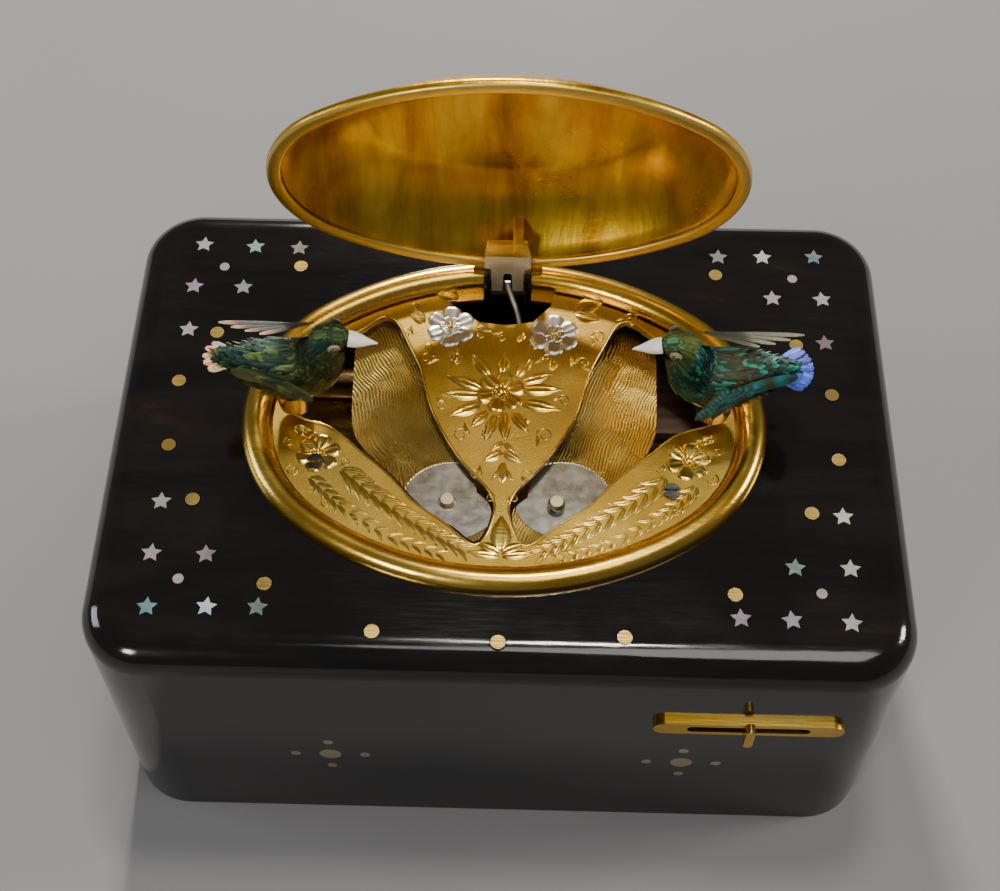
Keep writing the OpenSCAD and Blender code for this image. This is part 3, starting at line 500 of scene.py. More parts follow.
lid_turn = Matrix.Translation(HINGE) @ Matrix.Rotation(-LID_OPEN, 4, "X") @ Matrix.Translation(-HINGE)
LID_WALL, DOME_STEPS = 0.78, 14
dome_inside = [dome(i / DOME_STEPS, LID_WALL) for i in range(DOME_STEPS, -1, -1)]
rim = [(LID_INSET + RIM_W, 0.7), (LID_INSET + RIM_W - 0.04, 0.3), (LID_INSET + RIM_W - 0.2, 0.07),
       (LID_INSET + RIM_W - 0.45, 0), (LID_INSET + 0.5, 0), (LID_INSET + 0.2, 0.08), (LID_INSET + 0.04, 0.3),
       (LID_INSET, 0.7), (LID_INSET + 0.1, 1.05), (LID_INSET + 0.45, 1.35)]
rim = [(inset, LID_UNDER + height) for inset, height in rim]
dome_outside = [dome(i / DOME_STEPS) for i in range(1, DOME_STEPS + 1)]
lid_bm = bmesh.new()
run_moulding(lid_bm, dome_inside[:-1] + rim + dome_outside, closed=False)
for face in lid_bm.faces:
    face.material_index = int(face.calc_center_median().z < LID_UNDER + FLAT_TOP)
bmesh.ops.transform(lid_bm, matrix=lid_turn, verts=lid_bm.verts[:])
print("lid faces:", len(lid_bm.faces), "opened by degrees:", round(math.degrees(LID_OPEN)))

# %% [markdown]
# The inside of the lid was burnished up and down, which left tall soft streaks of deeper colour; the lighter streaks
# between them are painted glints. A noise that is squeezed across the lid and stretched up it gives this brushed lid
# its streaks, in colour and in the dents of its surface.

# %% Lid streaks and painted glints
tree = gilt_lid.node_tree
shader = tree.nodes["Principled BSDF"]
squeezed = add_node(tree, "ShaderNodeMapping", {"Vector": object_point(tree), "Scale": (2.4, 0.5, 0.5)})
streak_and_glint = add_node(tree, "ShaderNodeTexNoise",
                  {"Vector": squeezed.outputs[0], "Scale": 55.0, "Detail": 5.0, "Roughness": 0.6, "Distortion": 0.3})
# The darker stops are the burnished streaks; the lightest stop paints glints along them.
colour_by(tree, shader, streak_and_glint.outputs["Fac"],
          [(0.34, (0.36, 0.165, 0.006)), (0.52, (0.66, 0.39, 0.02)), (0.7, (0.9, 0.64, 0.10))])
scratches = shader.inputs["Normal"].links[0].from_socket
dents = bump_by(tree, shader, streak_and_glint.outputs["Fac"], 0.5, 0.0005)
tree.links.new(scratches, dents.inputs["Normal"])
gilt_rim = gilding("gilt_rim", (0.92, 0.66, 0.18), (0.78, 0.48, 0.07), 0.34, 0.55, 60.0, 0.1)
make_piece("lid_dish", lid_bm, [gilt_lid, gilt_rim], "lid", ["lid"])

# %% [markdown]
# The inlays on the top are stars of mother-of-pearl and discs of gold. Each star has its own tint,
# as it was cut from its own bit of shell. A vertex attribute carries that tint to the material.


# %% Inlay spots
def four_ways(spots):
    """The spots of one corner, repeated in all four."""
    return [(x * sx, y * sy) for x, y in spots for sx in (-1, 1) for sy in (-1, 1)]


STAR_SPOTS = four_ways([(41.5, 27.5), (34.5, 27.3), (28.5, 27.2), (42, 20.3), (35.4, 20.3), (41.8, 13.1)])
GOLD_SPOTS = four_ways([(28, 24.1), (38, 12.7), (42, 4.9), (14.8, 30)]) + [(0, 31), (0, -31)]
PEARL_SPOTS = four_ways([(38.3, 23.7)])
STAR_R, STAR_WAIST, GOLD_R, PEARL_R = 1.32, 0.5, 0.9, 0.66
INLAY_DEEP, INLAY_PROUD = 44.7, 45.02


def add_inlay(bm, x, y, segments, radius, tint, waist=1.0, turn=0.0):
    """A thin prism set into the top; a waist below 1 draws every other corner in, to a star."""
    rim = bmesh.ops.create_circle(bm, segments=segments, radius=radius, cap_ends=True,
                                  matrix=Matrix.Translation((x, y, INLAY_DEEP)))["verts"]
    if waist < 1:
        bmesh.ops.scale(bm, vec=(waist, waist, 1), verts=rim[1::2], space=Matrix.Translation((-x, -y, 0)))
        bmesh.ops.rotate(bm, cent=(x, y, 0), matrix=Matrix.Rotation(turn, 3, "Z"), verts=rim)
    made = bmesh.ops.extrude_face_region(bm, geom=list({f for v in rim for f in v.link_faces}))["geom"]
    top = [g for g in made if isinstance(g, bmesh.types.BMVert)]
    bmesh.ops.translate(bm, vec=(0, 0, INLAY_PROUD - INLAY_DEEP), verts=top)
    for vert in rim + top:
        vert[bm.verts.layers.float_color["tint"]] = tint


print("stars:", len(STAR_SPOTS), "gold discs:", len(GOLD_SPOTS), "pearl dots:", len(PEARL_SPOTS))

# %% [markdown]
# Shell shines pink, green and blue in turn. The material slides along those colours with the star's
# own tint and a little with its place, and a half-metallic gloss makes it flash.

# %% Mother-of-pearl
shell, tree, shader = new_material("pearl_shell")
tint_in = add_node(tree, "ShaderNodeAttribute", attribute_name="tint")
tint_split = add_node(tree, "ShaderNodeSeparateColor", {"Color": tint_in.outputs["Color"]})
shimmer = add_node(tree, "ShaderNodeTexNoise", {"Vector": object_point(tree), "Scale": 900.0, "Detail": 3.0})
slide_by = add_node(tree, "ShaderNodeMath", {0: shimmer.outputs["Fac"], 1: 0.5}, operation="MULTIPLY")
place_in = add_node(tree, "ShaderNodeMath", {0: tint_split.outputs[0], 1: slide_by.outputs[0]}, operation="ADD")
wrapped = add_node(tree, "ShaderNodeMath", {0: place_in.outputs[0]}, operation="FRACT")
shell_colour = ramp(tree, wrapped.outputs[0],
                    [(0.0, (0.40, 0.39, 0.31)), (0.28, (0.48, 0.48, 0.48)), (0.46, (0.24, 0.36, 0.31)),
                     (0.6, (0.22, 0.44, 0.52)), (0.74, (0.48, 0.50, 0.54)), (0.9, (0.46, 0.32, 0.42)),
                     (1.0, (0.40, 0.39, 0.31))])
tree.links.new(scaled(tree, shell_colour, tint_split.outputs[1]), shader.inputs["Base Color"])
shader.inputs["Metallic"].default_value = 0.35
shell_wear = use_group(tree, wear_group, Scale=300.0, Polished=0.18, Dull=0.4)
tree.links.new(shell_wear.outputs["Roughness"], shader.inputs["Roughness"])

print("shell tree nodes:", len(tree.nodes))

# %% [markdown]
# The inlays are set in one mesh for each finish. Every star is turned a little and has a shade of its
# own, since hand-set stars never line up exactly. Both are drawn at random from a fixed seed, so that
# the box looks the same each time.

# %% Stars, discs and pearl dots
star_bm, gold_bm, pearl_bm = bmesh.new(), bmesh.new(), bmesh.new()
for bm in (star_bm, gold_bm, pearl_bm):
    bm.verts.layers.float_color.new("tint")
for x, y in STAR_SPOTS:
    tint = (random.random(), random.uniform(0.4, 1.1), 0, 1)
    add_inlay(star_bm, x, y, 10, STAR_R, tint, STAR_WAIST, random.uniform(-0.1, 0.1))
for x, y in GOLD_SPOTS:
    add_inlay(gold_bm, x, y, 32, GOLD_R, (1, 1, 1, 1))
for x, y in PEARL_SPOTS:
    add_inlay(pearl_bm, x, y, 28, PEARL_R, (0.72, 0.8, 0, 1))
make_piece("shell_stars", star_bm, [shell], "case", ["star_inlays"])
make_piece("gold_discs", gold_bm, [gold_inlay], "case", ["gold_disc_inlays"])
make_piece("pearl_dots", pearl_bm, [shell], "case", ["pearl_dot_inlays"])

# %% [markdown]
# The grille is engraved and chased with flowers and leaves. Each is a small raised sheet, shaped from
# a grid: a petal is widest near its tip and cupped, a leaf is widest in its middle with a groove down
# its length. A texture could fake them, but raised sheets catch the light from any side.

# %% Leaf and petal
GRILLE_TOP = 44.6
SUNK = 0.04


def add_blade(bm, root, tip, width, kind, rise, base=GRILLE_TOP):
    """One leaf or petal from root to tip, laid on the plate; a curled leaf bends sideways."""
    root, tip = Vector((*root, 0)), Vector((*tip, 0))
    length = (tip - root).length
    made = bmesh.ops.create_grid(bm, x_segments=9, y_segments=8, size=0.5)["verts"]
    for vert in made:
        t, u = vert.co.x + 0.5, vert.co.y * 2
        if kind == "petal":
            spread = 0.22 + 0.78 * math.sin(math.pi / 2 * min(1, t / 0.62))
            spread *= math.sqrt(max(0.12, 1 - (max(0, t - 0.62) / 0.38) ** 2.6))
            height = (1 - abs(u) ** 4) * (0.45 + 0.55 * t) - 0.3 * max(0, 1 - abs(u) * 3.2) * (1 - 0.4 * t)
        else:
            spread = math.sin(math.pi * min(1, 0.07 + 0.93 * t) ** 0.85) + 0.02
            height = (1 - u * u) * (0.55 + 0.45 * math.sin(math.pi * t)) - 0.5 * max(0, 1 - abs(u) * 3.2)
        if abs(u) > 0.99 or t < 0.001 or t > 0.999:
            height = 0
        curl = 0.10 * length * math.sin(math.pi * t) * (1 if kind == "curled" else 0)
        vert.co = (t * length, u * width / 2 * spread + curl, max(0, height) * rise)
    turn = math.atan2(tip.y - root.y, tip.x - root.x)
    place = Matrix.Translation((root.x, root.y, base - SUNK)) @ Matrix.Rotation(turn, 4, "Z")
    bmesh.ops.transform(bm, matrix=place, verts=made)


print("leaves stand on the plate at mm:", GRILLE_TOP)

# %% [markdown]
# A flower is a ring of petals round a domed boss with beads. A spray is pairs of curled leaves that
# grow smaller along a path, as on a fern. Both reuse the one leaf, so that all the work is of a kind.


# %% Flowers, bosses and sprays
def add_flower(bm, centre, radius, petals, rise, start=0.3, base=GRILLE_TOP):
    """A ring of petals round a middle."""
    for k in range(petals):
        a = start + 2 * math.pi * k / petals
        way = (math.cos(a), math.sin(a))
        root = (centre[0] + way[0] * radius * 0.16, centre[1] + way[1] * radius * 0.16)
        tip = (centre[0] + way[0] * radius, centre[1] + way[1] * radius)
        add_blade(bm, root, tip, 2 * math.pi * radius / petals * 0.74, "petal", rise, base)


def add_boss(bm, centre, radius, rise, base=GRILLE_TOP):
    """The domed middle of a flower, with a ring of beads round it."""
    spots = [(centre[0], centre[1], radius, rise)]
    for k in range(9):
        a = 2 * math.pi * k / 9
        spots.append((centre[0] + 1.35 * radius * math.cos(a), centre[1] + 1.35 * radius * math.sin(a),
                      radius * 0.26, rise * 0.75))
    for x, y, r, h in spots:
        m = Matrix.Translation((x, y, base)) @ Matrix.Diagonal((1, 1, h / r, 1))
        bmesh.ops.create_uvsphere(bm, u_segments=16, v_segments=8, radius=r, matrix=m)


def add_spray(bm, path, count, length, width, rise):
    """Pairs of feathery leaves along a path, shrinking towards its end."""
    for k in range(count):
        s = k / (count - 1) * (len(path) - 1)
        i = min(int(s), len(path) - 2)
        a, b = Vector(path[i]), Vector(path[i + 1])
        at, way = a.lerp(b, s - i), (b - a).normalized()
        size = 1 - 0.35 * k / count
        for side in (-1, 1):
            out = Matrix.Rotation(side * 0.42, 2) @ way
            root = at + out * 0.15
            add_blade(bm, root, at + out * length * size, width * size, "curled", rise)


small_bm = bmesh.new()
add_flower(small_bm, (0, 0), 3, 6, 0.3)
print("faces in one flower:", len(small_bm.faces))
small_bm.free()

# %% [markdown]
# The layout follows the plate: a large flower in the middle with leaves all round, smaller leaves up
# to the silver flowers and down the neck, a flower at each side and long sprays below. Each leaf is
# written as its root, its tip and its width. Leaves that stand in pairs are made with both signs of x.

# %% Chased layout
CENTRE_LEAVES = [((-2, 7), (-4.5, 10.5), 1.5), ((-0.5, 7.5), (0, 11), 1.5), ((1.5, 7), (3.5, 10), 1.4),
                 ((-3, 5), (-7.8, 7), 1.6), ((-3, 4), (-8.3, 4), 1.7), ((-3, 2.5), (-7.2, 0.5), 1.6),
                 ((2, 6), (6.4, 7.5), 1.5), ((2, 5), (7.6, 5), 1.7), ((2, 3), (7.4, 1.8), 1.6),
                 ((-2, 1.5), (-4.2, -1.2), 1.4), ((-1, 1), (-2.4, -3.2), 1.4), ((0, 1.5), (0.2, -3.4), 1.4),
                 ((1, 1.5), (3.2, -1.8), 1.4)]
SMALL_LEAVES = [((-6.5, 19.5), (-10.5, 21), 1.6), ((-11, 15), (-13, 18.6), 1.6), ((-4, 15), (-1.8, 14), 0.9),
                ((-3, 13), (-4, 14), 0.6), ((1.5, 12.5), (2.6, 14.2), 0.8), ((9, 18), (13, 19.4), 2.0),
                ((9, 17.4), (12.8, 16.2), 1.8), ((6.4, 10), (6, 7.8), 1.1), ((-7, 11), (-6.6, 8.8), 1.0),
                ((-10.4, 12), (-9.2, 9.4), 1.0), ((9.4, 11), (8.4, 8.6), 1.0),
                ((0, -4.5), (-2.6, -6.2), 1.2), ((0, -4.5), (2.4, -6.2), 1.2), ((0, -3), (-1.6, -4.6), 0.8),
                ((0, -3.2), (1.6, -4.8), 0.8), ((0, -6), (0, -9.4), 1.1), ((0, -7), (-1.4, -8.8), 0.7),
                ((0, -7), (1.4, -8.8), 0.7)]
NECK_LEAVES = [((0, -18.9), (0, -13.6), 2.2), ((0, -19), (-3.0, -17.6), 1.3), ((0, -19), (3.0, -17.6), 1.3),
               ((0, -19.4), (-4.4, -19.0), 1.1), ((0, -19.4), (4.4, -19.0), 1.1)]
LEFT_PATH = [(-20.4, -7.6), (-17, -10.6), (-13, -13.6), (-9, -16.2), (-5.6, -18.2)]
chased_bm = bmesh.new()
batch(chased_bm, add_flower, (-0.5, 4.5), 3.3, 6, 0.26)
batch(chased_bm, add_boss, (-0.5, 4.5), 0.8, 0.55)
for root, tip, width in CENTRE_LEAVES:
    batch(chased_bm, add_blade, root, tip, width * 1.25, "leaf", 0.3)
for root, tip, width in SMALL_LEAVES + NECK_LEAVES:
    batch(chased_bm, add_blade, root, tip, width * 1.3, "leaf", 0.22)
for sx in (-1, 1):
    batch(chased_bm, add_flower, (sx * 23.2, -5.4), 2.9, 6, 0.22)
    batch(chased_bm, add_boss, (sx * 23.2, -5.4), 0.55, 0.45)
    path = [(sx * -x, y) for x, y in LEFT_PATH]
    batch(chased_bm, add_spray, path, 12, 4.2, 1.05, 0.17)
    batch(chased_bm, add_spray, [(sx * 26.6, -1.6), (sx * 24.6, -2.6)], 3, 1.7, 0.8, 0.25)
    batch(chased_bm, add_spray, [(sx * 24.2, -8.8), (sx * 20.4, -12.6), (sx * 14, -17), (sx * 8, -19.2)],
              13, 3.0, 0.8, 0.14)
print("chased faces so far:", len(chased_bm.faces))

# %% [markdown]
# Between the leaves run small scrolls, each a raised line that winds in on itself. A ring of points is
# set across the spiral at every step and the rings are bridged.


# %% Scrolls
def add_scroll(bm, centre, radius, start, turns, thick=0.11, height=GRILLE_TOP):
    """A spiral line, thick at its mouth and fine at its eye."""
    rings, steps = [], 26
    for k in range(steps):
        t = k / (steps - 1)
        a = start + turns * 2 * math.pi * t
        r = radius * (1 - 0.82 * t)
        at = Vector((centre[0] + r * math.cos(a), centre[1] + r * math.sin(a), height))
        out = Vector((math.cos(a), math.sin(a), 0))
        rings.append(bmesh.ops.create_circle(bm, segments=6, radius=thick * (1 - 0.5 * t),
                                             matrix=axes(at, out, out.cross(Vector((0, 0, 1)))))["verts"])
    bridge(bm, rings)


HEART_SCROLLS = [((-6.4, 9.4), 1.1, 0.4), ((5.6, 9.6), 1.0, 2.2), ((-10.4, 9.6), 1.0, 5.0), ((10.2, 9.4), 1.0, 4.2),
                 ((-8.0, 2.2), 0.8, 1.0), ((7.6, 3.4), 0.8, 2.0), ((-5.4, -2.2), 1.1, 0.2), ((5.2, -2.0), 1.1, 3.0),
                 ((-3.4, -8.0), 0.8, 0.0), ((3.2, -8.0), 0.8, 3.1), ((-1.4, -11.4), 0.6, 0.5), ((1.4, -11.4), 0.6, 2.6),
                 ((-13.2, 13.4), 0.9, 0.0), ((12.2, 13.6), 1.0, 3.0), ((-0.6, 13.2), 0.8, 1.5),
                 ((-12.4, 17.8), 1.0, 4.0), ((16.4, 16.4), 1.1, 2.0), ((-2.4, -1.6), 0.6, 4.0),
                 ((2.6, 0.2), 0.5, 5.0), ((3.6, 12.0), 0.7, 0.8)]
for centre, radius, start in HEART_SCROLLS:
    hand = 1 if centre[0] < 0 else -1
    batch(chased_bm, add_scroll, centre, radius, start, 1.35 * hand)
    way = start + 1.2
    tip = (centre[0] + 2.0 * radius * math.cos(way), centre[1] + 2.0 * radius * math.sin(way))
    root = (centre[0] + radius * math.cos(start), centre[1] + radius * math.sin(start))
    batch(chased_bm, add_blade, root, tip, 0.6, "curled", 0.14)
SIDE_SCROLLS = [(25.4, -2.2, 0.8), (27.0, -3.8, 0.7), (19.6, -6.6, 0.7), (26.0, -8.0, 0.9), (21.6, -12.6, 0.7)]
for sx in (-1, 1):
    for x, y, radius in SIDE_SCROLLS:
        batch(chased_bm, add_scroll, (sx * x, y), radius, 1.0 if sx > 0 else 2.1, -1.3 * sx)
print("scrolls:", len(HEART_SCROLLS) + 2 * len(SIDE_SCROLLS))

# %% [markdown]
# The two large flowers at the top are silver, pinned onto the gilt plate through a gold boss. Each is
# two rings of petals, a small one over a large one, so they are made by the same call as the gold ones.

# %% Silver flowers
FLOWER_SPOTS = [(-7.4, 14.8), (6.3, 13.8)]
silver_bm, boss_bm = bmesh.new(), bmesh.new()
for centre in FLOWER_SPOTS:
    batch(silver_bm, add_flower, centre, 3.3, 6, 0.3, start=0.5, base=GRILLE_TOP + 0.03)
    batch(silver_bm, add_flower, centre, 1.5, 6, 0.16, start=1.0, base=GRILLE_TOP + 0.24)
    batch(boss_bm, add_boss, centre, 0.55, 0.7)
print("petal faces:", len(silver_bm.faces))

# %% [markdown]
# A raised lip runs round both openings, where the plate's edge was burnished over. A few points give
# the outline, a smooth curve is run through them, and a thin tube of rings is bridged along it.

# %% Burnished lips
APERTURE = [(-18.8, 14.2), (-16.3, 16.2), (-14.4, 15.2), (-13, 12.5), (-11, 8), (-9, 1), (-5.5, -5.5),
            (-1.5, -10.5), (-1, -14), (-3, -18), (-7, -15), (-11, -12), (-14.5, -8), (-18.5, -4.5), (-22, -1.5),
            (-26, 0), (-28.2, 2), (-26.8, 6.2), (-24, 10.2)]


def rounded(points, closed, steps=5):
    """Catmull-Rom points through an outline."""
    out = []
    count = len(points)
    for i in range(count if closed else count - 1):
        p = [Vector(points[(i + d) % count] if closed else points[min(max(i + d, 0), count - 1)])
             for d in (-1, 0, 1, 2)]
        for k in range(steps):
            t = k / steps
            out.append(0.5 * (2 * p[1] + (p[2] - p[0]) * t + (2 * p[0] - 5 * p[1] + 4 * p[2] - p[3]) * t * t
                              + (3 * p[1] - p[0] - 3 * p[2] + p[3]) * t ** 3))
    return out


def add_lip(bm, points, radius, height):
    """A thin closed tube along a rounded outline."""
    path = rounded(points, True)
    rings = []
    for i, at in enumerate(path):
        way = path[(i + 1) % len(path)] - path[i - 1]
        m = axes((at.x, at.y, height), (-way.y, way.x, 0), (way.x, way.y, 0))
        rings.append(bmesh.ops.create_circle(bm, segments=8, radius=radius, matrix=m)["verts"])
    bridge(bm, rings, closed=True)


for sx in (-1, 1):
    batch(chased_bm, add_lip, [(sx * -x, y) for x, y in APERTURE], 0.17, GRILLE_TOP - 0.02)
print("chased faces in all:", len(chased_bm.faces))

# %% [markdown]
# The plate between the leaves is matted with a fine punch, so that the polished leaves stand out. A Voronoi pattern
# makes the dimples, and its colour is darkened towards each dimple's floor as painted shade. It sits in a shared group,
# as the shutters use it as well.

# %% Grille finish
punch_group, punch_in, punch_out = new_group(
    "punched ground", {"Scale": (FLOAT, 4200.0)}, {"Height": FLOAT, "Shade": FLOAT})
cells = add_node(punch_group, "ShaderNodeTexVoronoi",
                 {"Vector": object_point(punch_group), "Scale": punch_in.outputs["Scale"]})
dimple = add_node(punch_group, "ShaderNodeMapRange",
                  {"Value": cells.outputs["Distance"], "From Min": 0.1, "From Max": 0.6})
# Shade: the colour is darkened in each dimple, down to 0.72 at its floor; this is painted shade.
shade = add_node(punch_group, "ShaderNodeMapRange", {"Value": dimple.outputs[0], "To Min": 0.72, "To Max": 1.0})
punch_group.links.new(dimple.outputs[0], punch_out.inputs["Height"])
punch_group.links.new(shade.outputs[0], punch_out.inputs["Shade"])


def matted(name, bright, deep, strength, rough=(0.28, 0.46)):
    """Gilding with a punched ground; returns the material and its bump node."""
    material, tree, shader = new_material(name)
    wear = use_group(tree, wear_group, Scale=110.0, Polished=rough[0], Dull=rough[1])
    punched = use_group(tree, punch_group)
    tint = add_node(tree, "ShaderNodeTexNoise", {"Vector": object_point(tree), "Scale": 85.0, "Detail": 4.0})
    colour = ramp(tree, tint.outputs["Fac"], [(0.38, deep), (0.62, bright)])
    # The punched ground's painted shade darkens the colour in the dimples.
    tree.links.new(scaled(tree, colour, punched.outputs["Shade"]), shader.inputs["Base Color"])
    tree.links.new(wear.outputs["Roughness"], shader.inputs["Roughness"])
    shader.inputs["Metallic"].default_value = 1.0
    return material, bump_by(tree, shader, punched.outputs["Height"], strength, 0.00012)


grille_ground, _ = matted("grille_ground", (0.66, 0.44, 0.085), (0.50, 0.30, 0.04), 0.14)
chased_gilt = gilding("chased_gilt", (0.78, 0.56, 0.14), (0.58, 0.38, 0.06), 0.2, 0.36, 160.0, 0.1)
dress("grille", grille_ground)
make_piece("chased_leaves", chased_bm, [chased_gilt], "case", sharp=50)
make_piece("silver_flowers", silver_bm, [silver], "case", ["rosettes"], sharp=50)
make_piece("flower_bosses", boss_bm, [chased_gilt], "case", sharp=50)

# %% [markdown]
# The sliding shutters are engraved with long wavy lines, like a bird's feathers. Their inner ends
# are silvered, in a rounded patch round the pivot.


# %% Shutters
def shutter_finish(name, turn, patch_at):
    """Wavy engraved lines along the shutter, and the silvered patch at its inner end."""
    material, bump = matted(name, (0.62, 0.45, 0.13), (0.42, 0.29, 0.065), 0.6, rough=(0.26, 0.44))
    tree = material.node_tree
    shader = tree.nodes["Principled BSDF"]
    gold = shader.inputs["Base Color"].links[0].from_socket
    centred = add_node(tree, "ShaderNodeMapping",
                       {"Vector": object_point(tree), "Location": (-patch_at[0] / 6.2, -patch_at[1] / 5.6, 0),
                        "Scale": (1 / (6.2 * MM), 1 / (5.6 * MM), 0)})
    reach = add_node(tree, "ShaderNodeVectorMath", {0: centred.outputs[0]}, operation="LENGTH")
    patch = add_node(tree, "ShaderNodeMapRange",
                     {"Value": reach.outputs[1], "From Min": 0.97, "From Max": 1.0, "To Min": 1.0, "To Max": 0.0})
    flecks = add_node(tree, "ShaderNodeTexNoise", {"Vector": object_point(tree), "Scale": 700.0, "Detail": 4.0})
    silvered = ramp(tree, flecks.outputs["Fac"], [(0.35, (0.32, 0.31, 0.28)), (0.65, (0.55, 0.54, 0.50))])
    both = add_node(tree, "ShaderNodeMix", {0: patch.outputs[0], 6: gold, 7: silvered}, data_type="RGBA")
    tree.links.new(both.outputs[2], shader.inputs["Base Color"])
    warp = add_node(tree, "ShaderNodeTexNoise", {"Vector": object_point(tree), "Scale": 110.0, "Detail": 3.0})
    bend = add_node(tree, "ShaderNodeVectorMath", {0: warp.outputs["Color"], "Scale": 0.0035}, operation="SCALE")
    bent = add_node(tree, "ShaderNodeVectorMath", {0: object_point(tree), 1: bend.outputs[0]}, operation="ADD")
    turned = add_node(tree, "ShaderNodeMapping", {"Vector": bent.outputs[0], "Rotation": (0, 0, turn)})
    lines = add_node(tree, "ShaderNodeTexWave", {"Vector": turned.outputs[0], "Scale": 800.0}, bands_direction="X")
    cut = add_node(tree, "ShaderNodeMath", {0: lines.outputs["Fac"], 1: 0.35}, operation="POWER")
    bare = add_node(tree, "ShaderNodeMath", {0: 1.0, 1: patch.outputs[0]}, operation="SUBTRACT")
    hatch = add_node(tree, "ShaderNodeMath", {0: cut.outputs[0], 1: bare.outputs[0]}, operation="MULTIPLY")
    soft = add_node(tree, "ShaderNodeMath",
                    {0: flecks.outputs["Fac"], 1: 0.3, 2: hatch.outputs[0]}, operation="MULTIPLY_ADD")
    tree.links.new(soft.outputs[0], bump.inputs["Height"])
    return material


for hand, turn, patch in (("left", -0.35, (-6.2, -10.8)), ("right", 0.35, (7.6, -9.8))):
    dress(f"{hand}_shutter", shutter_finish(f"{hand}_shutter_engraving", turn, patch))
print("engraved shutters: 2")

# %% [markdown]
# The birds are covered in real feathers. One small feather is shaped from a grid: it tapers, it is
# arched across, and it droops at its tip. It is copied hundreds of times in rows, tail first, so that
# each row lies over the one behind it. A vertex attribute called plume tells the material where each
# feather sits: red is a random shade, green runs from tail to head, blue from belly to back.

# %% Feather
FOOT_Y = 1.4


def add_feather(bm, matrix, length, width, plume, taper=0.45, droop=0.12, arch=0.18, across=4, along=6):
    """One feather from its root at the origin along +X, with its outer side up."""
    made = bmesh.ops.create_grid(bm, x_segments=along, y_segments=across, size=0.5, calc_uvs=True)["verts"]
    layer = bm.verts.layers.float_color["plume"]
    for vert in made:
        t, u = vert.co.x + 0.5, vert.co.y * 2
        spread = (0.35 + 0.65 * math.sin(math.pi * min(1, t * 1.25) / 2)) if t < 0.8 else 1
        spread *= math.sqrt(max(0.03, 1 - max(0, (t - taper) / (1.02 - taper)) ** 2.4))
        vert.co = (t * length, u * width / 2 * spread,
                   -arch * width * u * u * spread - droop * length * t * t)
        vert[layer] = plume
    bmesh.ops.transform(bm, matrix=matrix, verts=made)


print("the birds stand at y in mm:", FOOT_Y)

# %% [markdown]
# The body is a tube of rings along a bent spine, from the rump to the base of the beak. The spine is
# also what the feathers are laid on.

# %% Spine and body
SPINE = [(-34.0, 55.3, 0.7), (-32.2, 54.9, 1.6), (-29.5, 54.1, 2.9), (-26.5, 53.6, 3.75), (-23.9, 54.0, 3.95),
         (-22.4, 55.6, 3.4), (-21.6, 57.6, 2.65), (-21.1, 59.1, 2.4), (-20.4, 60.1, 2.2), (-19.5, 60.1, 1.7),
         (-18.9, 59.9, 1.1)]


def on_spine(s):
    """Centre, radius and direction of the body, s from 0 at the rump to 1 at the beak."""
    s = min(max(s, 0), 1) * (len(SPINE) - 1)
    i = min(int(s), len(SPINE) - 2)
    f = s - i
    f = f * f * (3 - 2 * f) * 0.35 + f * 0.65
    a, b = Vector(SPINE[i]), Vector(SPINE[i + 1])
    before, after = Vector(SPINE[max(i - 1, 0)]), Vector(SPINE[min(i + 2, len(SPINE) - 1)])
    way = ((b - before) * (1 - f) + (after - a) * f)
    p = a.lerp(b, f)
    return Vector((p.x, FOOT_Y, p.y)), p.z, Vector((way.x, 0, way.y)).normalized()


def skin_point(s, turn, sink=0.0):
    """Point on the body and its outward normal; turn is 0 on the back and pi on the belly."""
    centre, radius, ahead = on_spine(s)
    up = ahead.cross(Vector((0, 1, 0))) * -1
    if up.z < 0 and abs(up.z) > abs(up.x):
        up = -up
    out = up * math.cos(turn) + Vector((0, 1, 0)) * math.sin(turn)
    return centre + out * (radius - sink), out, ahead


def bird_body(bm):
    """The dark core under the feathers: rings along the spine, bridged and closed."""
    rings = []
    for i in range(25):
        centre, radius, ahead = on_spine(i / 24)
        m = axes(centre, (0, 1, 0), ahead)
        rings.append(bmesh.ops.create_circle(bm, segments=24, radius=max(0.3, radius - 0.5), matrix=m)["verts"])
    bridge(bm, rings, capped=True)
    layer = bm.verts.layers.float_color["plume"]
    for vert in bm.verts:
        vert[layer] = (0.2, 0.5, 0.5, 1)


print("body length in mm:", round(SPINE[-1][0] - SPINE[0][0], 1))

# %% [markdown]
# The small feathers lie in rows round the body, each row half a step round from the one before, like
# the tiles of a roof. They grow shorter and lie less flat towards the head. Length, direction and
# lift are a little random, as no two real feathers lie the same.


# %% Feather rows
def feather_row(bm, row, rows):
    """One row of small feathers, half a step round from the row before."""
    s = 0.02 + 0.955 * row / (rows - 1)
    _, radius, _ = on_spine(s)
    head = max(0.0, (s - 0.62) / 0.38)
    length = 2.6 - 1.7 * head
    width = 0.95 - 0.45 * head
    count = max(8, int(2 * math.pi * radius / (width * 0.62)))
    for k in range(count):
        turn = 2 * math.pi * (k + 0.5 * (row % 2) + random.uniform(-0.15, 0.15)) / count
        at, out, ahead = skin_point(s, turn, 0.3)
        sway = Vector((random.uniform(-0.1, 0.1), random.uniform(-0.14, 0.14), random.uniform(-0.1, 0.1)))
        back = sway - ahead
        back = (back - out * back.dot(out)).normalized()
        lift = random.uniform(0.08, 0.2) + 0.12 * head
        plume = (random.random(), s, 0.5 + 0.5 * math.cos(turn), 1)
        add_feather(bm, axes(at, back + out * lift, out), length * random.uniform(0.9, 1.1), width, plume,
                    droop=0.05, arch=0.1, across=3, along=4)


def cover(bm, rows=40):
    """Rows of small feathers from rump to crown."""
    for row in range(rows):
        batch(bm, feather_row, row, rows)


print("widest part of the body in mm:", 2 * max(radius for _, _, radius in SPINE))

